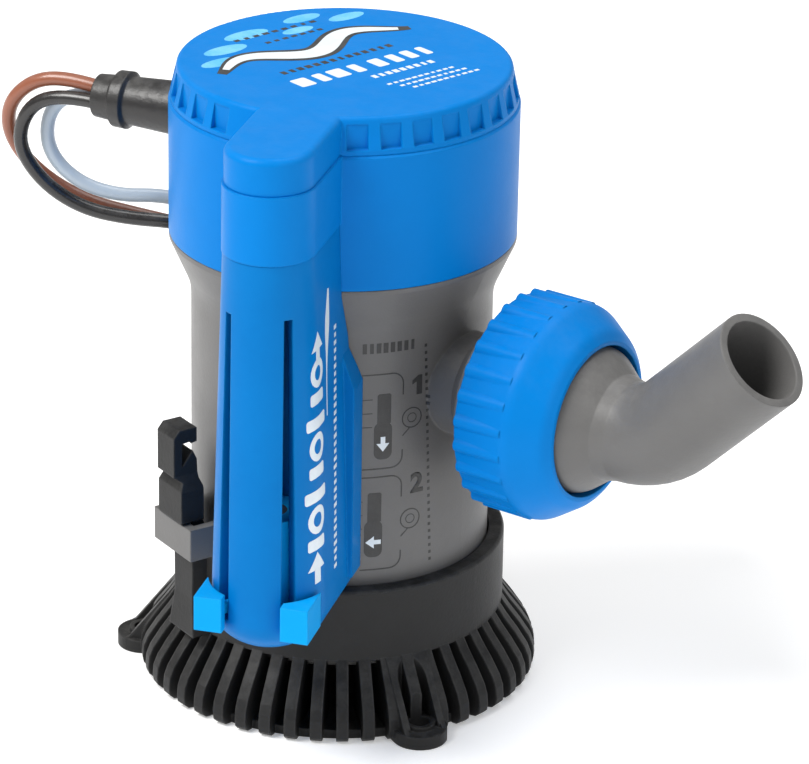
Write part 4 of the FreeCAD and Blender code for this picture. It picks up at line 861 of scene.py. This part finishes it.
class Artwork:
    """Flat generic marks, drawn in millimetres and then laid on a ground."""

    def __init__(self, name: str, ground: Ground, grid: float) -> None:
        """Starts empty artwork whose faces are cut to a grid so that they follow the ground."""
        self.name = name
        self.ground = ground
        self.grid = grid
        self.sheets: dict[Ink, bmesh.types.BMesh] = {}

    def sheet(self, ink: Ink) -> bmesh.types.BMesh:
        """The drawing sheet of one ink."""
        if ink not in self.sheets:
            self.sheets[ink] = bmesh.new()
        return self.sheets[ink]

    def shape(self, ink: Ink, points: Iterable[Point2]) -> None:
        """One filled outline, anticlockwise."""
        sheet = self.sheet(ink)
        sheet.faces.new([sheet.verts.new((x, y, 0.0)) for x, y in points])

    def ribbon(self, ink: Ink, line: Sequence[Point2], widths: Sequence[float], closed: bool = False) -> None:
        """A stroke of varying width along a line of points."""
        sheet = self.sheet(ink)
        pairs = []
        count = len(line)
        for index, (x, y) in enumerate(line):
            before = line[(index - 1) % count] if closed or index else line[0]
            after = line[(index + 1) % count] if closed or index < count - 1 else line[-1]
            along = Vector((after[0] - before[0], after[1] - before[1])).normalized()
            half = widths[index % len(widths)] / 2
            side = Vector((-along.y, along.x)) * half
            pairs.append((sheet.verts.new((x + side.x, y + side.y, 0.0)),
                          sheet.verts.new((x - side.x, y - side.y, 0.0))))
        following = pairs[1:] + (pairs[:1] if closed else [])
        for (a, b), (c, d) in zip(pairs, following):
            sheet.faces.new((a, b, d, c))

    def bar(self, ink: Ink, x: float, y: float, width: float, height: float, corner: float = 0.3) -> None:
        """A round cornered bar by its centre."""
        self.shape(ink, rounded_box(x, y, width, height, corner, 3))

    def loop(self, ink: Ink, x: float, y: float, radius: float, stroke: float) -> None:
        """A ring by its centre."""
        line = [(x + radius * math.cos(math.tau * i / 20), y + radius * math.sin(math.tau * i / 20))
                for i in range(20)]
        self.ribbon(ink, line, [stroke], closed=True)

    def arrow(self, ink: Ink, x: float, y: float, size: float, degrees: float) -> None:
        """A short arrow that points along an angle."""
        turn = math.radians(degrees)
        for outline in (((0.5, 0.0), (-0.05, 0.42), (-0.05, -0.42)), ((-0.05, 0.15), (-0.5, 0.15),
                                                                      (-0.5, -0.15), (-0.05, -0.15))):
            self.shape(ink, [(x + size * (a * math.cos(turn) - b * math.sin(turn)),
                              y + size * (a * math.sin(turn) + b * math.cos(turn))) for a, b in outline])

    def numeral(self, ink: Ink, words: str, x: float, y: float, height: float) -> None:
        """A plain numeral by its centre."""
        text = bpy.data.curves.new("numeral", "FONT")
        text.body = words
        text.size = height * 1.4
        text.align_x, text.align_y = "CENTER", "CENTER"
        text.offset = 0.05 * height
        holder = bpy.data.objects.new("numeral", text)
        mesh = bpy.data.meshes.new_from_object(holder)
        mesh.transform(Matrix.Translation((x, y, 0.0)))
        self.sheet(ink).from_mesh(mesh)
        bpy.data.objects.remove(holder)
        bpy.data.meshes.remove(mesh)

    def row(self, ink: Ink, tree: bpy.types.NodeTree, first: Point2, step: Point2, count: int,
            size: Point2, unevenness: float = 0.0) -> None:
        """A row of repeated marks grown by geometry nodes."""
        mesh = grown(tree, {"Count": count, "Start": (*first, 0.0), "Step": (*step, 0.0),
                            "Width": size[0], "Height": size[1], "Unevenness": unevenness})
        self.sheet(ink).from_mesh(mesh)
        bpy.data.meshes.remove(mesh)

    def lay(self) -> list[bpy.types.Object]:
        """Cuts the marks to the grid, drops them onto the ground and gives them their thin body.

        Returns:
            One piece for each ink.
        """
        target = frame["nodes"][self.ground.node].data
        tree = BVHTree.FromPolygons([v.co.copy() for v in target.vertices],
                                    [tuple(p.vertices) for p in target.polygons])
        laid = []
        for ink, sheet in self.sheets.items():
            bmesh.ops.remove_doubles(sheet, verts=sheet.verts, dist=1e-5)
            for axis in (Vector((1, 0, 0)), Vector((0, 1, 0))):
                values = [v.co.dot(axis) for v in sheet.verts]
                line = math.floor(min(values) / self.grid) * self.grid
                while line < max(values):
                    line += self.grid
                    bmesh.ops.bisect_plane(sheet, geom=sheet.verts[:] + sheet.edges[:] + sheet.faces[:],
                                           dist=1e-6, plane_co=axis * line, plane_no=axis)
            base = sheet.verts[:]
            grown_up = bmesh.ops.extrude_face_region(sheet, geom=sheet.faces[:])["geom"]
            top = {item for item in grown_up if isinstance(item, bmesh.types.BMVert)}
            for vert in base + list(top):
                start, direction = self.ground.ray((vert.co.x, vert.co.y))
                spot, normal, _, _ = tree.ray_cast(start, direction)
                if spot is None:
                    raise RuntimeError(f"{self.name} runs off {self.ground.node} at {tuple(vert.co)}")
                if normal.dot(direction) > 0:
                    normal = -normal
                vert.co = spot + normal * (ink.proud if vert in top else -0.00002)
            bmesh.ops.recalc_face_normals(sheet, faces=sheet.faces)
            bmesh.ops.triangulate(sheet, faces=[f for f in sheet.faces if len(f.verts) > 4])
            mesh = bpy.data.meshes.new(f"{self.name}_{ink.name.lower()}")
            sheet.to_mesh(mesh)
            sheet.free()
            laid.append(new_piece(mesh.name, mesh, ink.finish))
        return laid


def rounded_box(x: float, y: float, width: float, height: float, corner: float, steps: int) -> list[Point2]:
    """The anticlockwise outline of a round cornered box by its centre."""
    points = []
    for sign_x, sign_y, first in ((1, -1, -90), (1, 1, 0), (-1, 1, 90), (-1, -1, 180)):
        for step in range(steps + 1):
            turn = math.radians(first + 90 * step / steps)
            points.append((x + sign_x * (width / 2 - corner) + corner * math.cos(turn),
                           y + sign_y * (height / 2 - corner) + corner * math.sin(turn)))
    return points


class PrintShop:
    """The generic marks on the lid, the float column and the housing."""

    def row_tree(self) -> bpy.types.NodeTree:
        """Geometry nodes for a row of small flat marks with slightly uneven widths."""
        grower = Grower("mark_row", (
            ("Count", "NodeSocketInt", 5), ("Start", "NodeSocketVector", None),
            ("Step", "NodeSocketVector", None), ("Width", "NodeSocketFloat", 1.0),
            ("Height", "NodeSocketFloat", 1.0), ("Unevenness", "NodeSocketFloat", 0.0)))
        graph, ins = grower.graph, grower.ins
        line = graph.add("GeometryNodeMeshLine")
        graph.link(ins.outputs["Count"], line.inputs["Count"])
        graph.link(ins.outputs["Start"], line.inputs["Start Location"])
        graph.link(ins.outputs["Step"], line.inputs["Offset"])
        mark = graph.add("GeometryNodeMeshGrid")
        mark.inputs["Vertices X"].default_value = 2
        mark.inputs["Vertices Y"].default_value = 2
        graph.link(ins.outputs["Width"], mark.inputs["Size X"])
        graph.link(ins.outputs["Height"], mark.inputs["Size Y"])
        uneven = graph.add("FunctionNodeRandomValue", data_type="FLOAT")
        uneven.inputs["Seed"].default_value = 11
        graph.link(graph.maths("SUBTRACT", 1.0, ins.outputs["Unevenness"]), uneven.inputs[2])
        uneven.inputs[3].default_value = 1.0
        scale = graph.add("CombineXYZ", X=1.0, Y=1.0, Z=1.0)
        graph.link(uneven.outputs[1], scale.inputs["X"])
        place = graph.add("GeometryNodeInstanceOnPoints")
        graph.link(line.outputs["Mesh"], place.inputs["Points"])
        graph.link(mark.outputs["Mesh"], place.inputs["Instance"])
        graph.link(scale.outputs["Vector"], place.inputs["Scale"])
        return grower.end(place.outputs["Instances"])

    def housing_label(self, rows: bpy.types.NodeTree) -> None:
        """Two numbered frames with a float bar and arrow in each, a heading row and a dotted edge."""
        radius = 28.8
        zero = -38.0
        ground = Ground("pump_housing", Vector(), Vector((1, 0, 0)), Vector((0, 0, 1)), Vector((0, 0, 0)),
                        wrap=radius, start_degrees=zero)
        art = Artwork("housing_label", ground, 1.1)

        def at(degrees: float) -> float:
            """Distance round the housing for an angle about the pump's axis."""
            return math.radians(degrees - zero) * radius

        art.row(Ink.BLACK, rows, (at(-17.4), 32.0), (-0.064, 1.48), 31, (0.55, 0.6))
        art.row(Ink.BLACK, rows, (at(-45.5), 77.2), (1.34, 0.0), 8, (0.95, 2.0), 0.4)
        diagrams = ((52.7, 71.9, -38.1, 67.9), (31.9, 51.0, -41.3, 47.8))
        for index, (low, high, bar_degrees, top) in enumerate(diagrams):
            left, right, corner = at(-46.3), at(-30.4), 2.2
            for level, side, leg in ((high, -1, 2.4), (low, 1, 1.2)):
                bend = [(right - corner + corner * math.sin(math.radians(15 * i)),
                         level + side * (corner - corner * math.cos(math.radians(15 * i)))) for i in range(7)]
                art.ribbon(Ink.BLACK, [(left, level), *bend, (right, level + side * (corner + leg))], [0.26])
            across = at(bar_degrees)
            art.shape(Ink.BLACK, [(across + x, top + y) for x, y in (
                (-1.15, -6.0), (1.5, -6.0), (1.5, -0.3), (1.2, 0.0), (-0.85, 0.0), (-1.15, -0.3))])
            art.shape(Ink.BLACK, rounded_box(across, top - 9.5, 3.5, 7.6, 1.4, 5))
            art.arrow(Ink.WHITE, across, top - 10.2, 3.0, -90.0 if index == 0 else 180.0)
            art.loop(Ink.BLACK, at(-26.6), low + 9.6, 2.0, 0.22)
            art.loop(Ink.BLACK, at(-26.6), low + 9.6, 0.9, 0.16)
            art.ribbon(Ink.BLACK, [(at(-30.4), low + 6.2), (at(-27.4), low + 7.7)], [0.22])
            for line in (8.6, 11.4, 14.2):
                art.ribbon(Ink.BLACK, [(left, low + line), (across - 2.1, low + line)], [0.16])
            if index == 0:
                art.shape(Ink.BLACK, [(at(-24.0) + x, high - 3.2 + y) for x, y in (
                    (-0.45, -1.9), (0.75, -1.9), (0.75, 2.0), (-0.05, 2.0),
                    (-1.35, 1.1), (-1.35, 0.3), (-0.45, 0.75))])
            else:
                art.numeral(Ink.BLACK, "2", at(-24.0), high - 2.5, 3.9)
        art.lay()

    def column_marks(self, rows: bpy.types.NodeTree) -> None:
        """A band of bold white marks up the column's side, a fine dashed row and a slim flash."""
        outward = polar(1000.0, -70.0, 0.0)
        side = polar(1000.0, 20.0, 0.0)
        ground = Ground("switch_column", side * 20.0, outward, Vector((0, 0, 1)), -side)
        art = Artwork("column_marks", ground, 1.6)
        marks = ("up", "bar", "ring", "tall", "bar", "ring", "tall", "bar", "ring", "up")
        for index, kind in enumerate(marks):
            height = 43.0 + 4.75 * index
            centre = 49.4 - 0.22 * index
            if kind == "up":
                art.arrow(Ink.WHITE, centre, height, 6.2, 90.0)
            elif kind == "ring":
                art.loop(Ink.WHITE, centre, height, 2.1, 1.35)
            else:
                art.bar(Ink.WHITE, centre, height, 7.2 if kind == "tall" else 5.4, 2.3, 0.5)
        art.row(Ink.WHITE, rows, (39.6, 39.0), (-0.1, 1.5), 32, (1.9, 0.8), 0.5)
        flash = [(42.6 - 0.010 * i * i, 70.5 + 1.6 * i) for i in range(16)]
        art.ribbon(Ink.WHITE, flash, [0.35 + 2.1 * math.exp(-((i - 11) / 3.2) ** 2) for i in range(16)])
        art.lay()

    def lid_emblem(self, rows: bpy.types.NodeTree) -> None:
        """A plain wave with bars and rows of small marks under a pale wash, across the lid."""
        reading = polar(1000.0, 76.0, 0.0)
        top = polar(1000.0, 166.0, 0.0)
        ground = Ground("cap_lid", Vector((0, 0, 100.0)), reading, top, Vector((0, 0, -1)))
        art = Artwork("lid_emblem", ground, 4.0)
        for x, y, radius in ((-19.0, 13.2, 3.0), (-14.0, 18.2, 3.3), (-5.5, 22.6, 3.4), (4.0, 18.8, 2.4),
                             (9.0, 23.8, 2.9), (16.5, 19.4, 2.8)):
            art.shape(Ink.SKY, [(x + radius * 1.5 * math.cos(math.tau * i / 18),
                                 y + radius * 0.62 * math.sin(math.tau * i / 18)) for i in range(18)])
        art.row(Ink.BLACK, rows, (-9.0, 21.0), (2.3, 0.0), 9, (1.5, 1.0), 0.5)
        art.row(Ink.BLACK, rows, (-5.0, 16.6), (2.1, 0.0), 7, (1.3, 0.9), 0.4)
        wave = [(-23.0 + 0.7 * i, 9.6 + 2.9 * math.sin(0.175 * i - 0.6)) for i in range(65)]
        swell = [math.sin(math.pi * (i + 3) / 70) for i in range(65)]
        art.ribbon(Ink.BLACK, wave, [1.2 + 5.2 * s for s in swell])
        art.ribbon(Ink.WHITE, wave[3:-3], [0.3 + 3.9 * s for s in swell[3:-3]])
        art.row(Ink.BLACK, rows, (-13.5, 1.4), (1.95, 0.0), 14, (1.35, 1.5), 0.5)
        for x, width in ((-14.0, 3.4), (-9.6, 2.1), (-5.6, 3.4), (-1.2, 2.1),
                         (4.0, 2.6), (8.0, 2.1), (11.6, 2.1), (15.2, 1.6)):
            art.bar(Ink.WHITE, x, -4.8, width, 4.2, 0.45)
        art.row(Ink.WHITE, rows, (-1.5, -10.4), (1.7, 0.0), 9, (1.2, 1.5), 0.5)
        for line in range(3):
            first = (-2.0 + 1.4 * line, -15.2 - 2.0 * line)
            art.row(Ink.WHITE, rows, first, (1.5, 0.0), 11, (1.15, 0.7), 0.5)
        art.lay()

    def build(self) -> None:
        """Prints every mark."""
        rows = self.row_tree()
        self.housing_label(rows)
        self.column_marks(rows)
        self.lid_emblem(rows)


# ---------------------------------------------------------------- CAD parts


class CadParts:
    """Dresses every CAD node in the finish of its record slot."""

    def build(self) -> None:
        """Gives each node its procedural material."""
        slots = {part["node"]: part["material_slot"] for part in frame["record"]["subparts"]}
        for name, node in frame["nodes"].items():
            finish = slots[name]
            material = FINISHES[finish].material()
            if not node.material_slots:
                node.data.materials.append(material)
            for holder in node.material_slots:
                holder.material = material
            LOG.info("node %s dressed in %s", name, finish)


def main() -> None:
    """Builds the studio, the leads, the CAD finishes and the prints."""
    logging.basicConfig(level=logging.INFO, format="%(message)s")
    studio = Studio()
    studio.place_camera()
    LeadSet().build()
    CadParts().build()
    PrintShop().build()
    studio.light()
    studio.lay_floor()


if __name__ == "__main__":
    main()
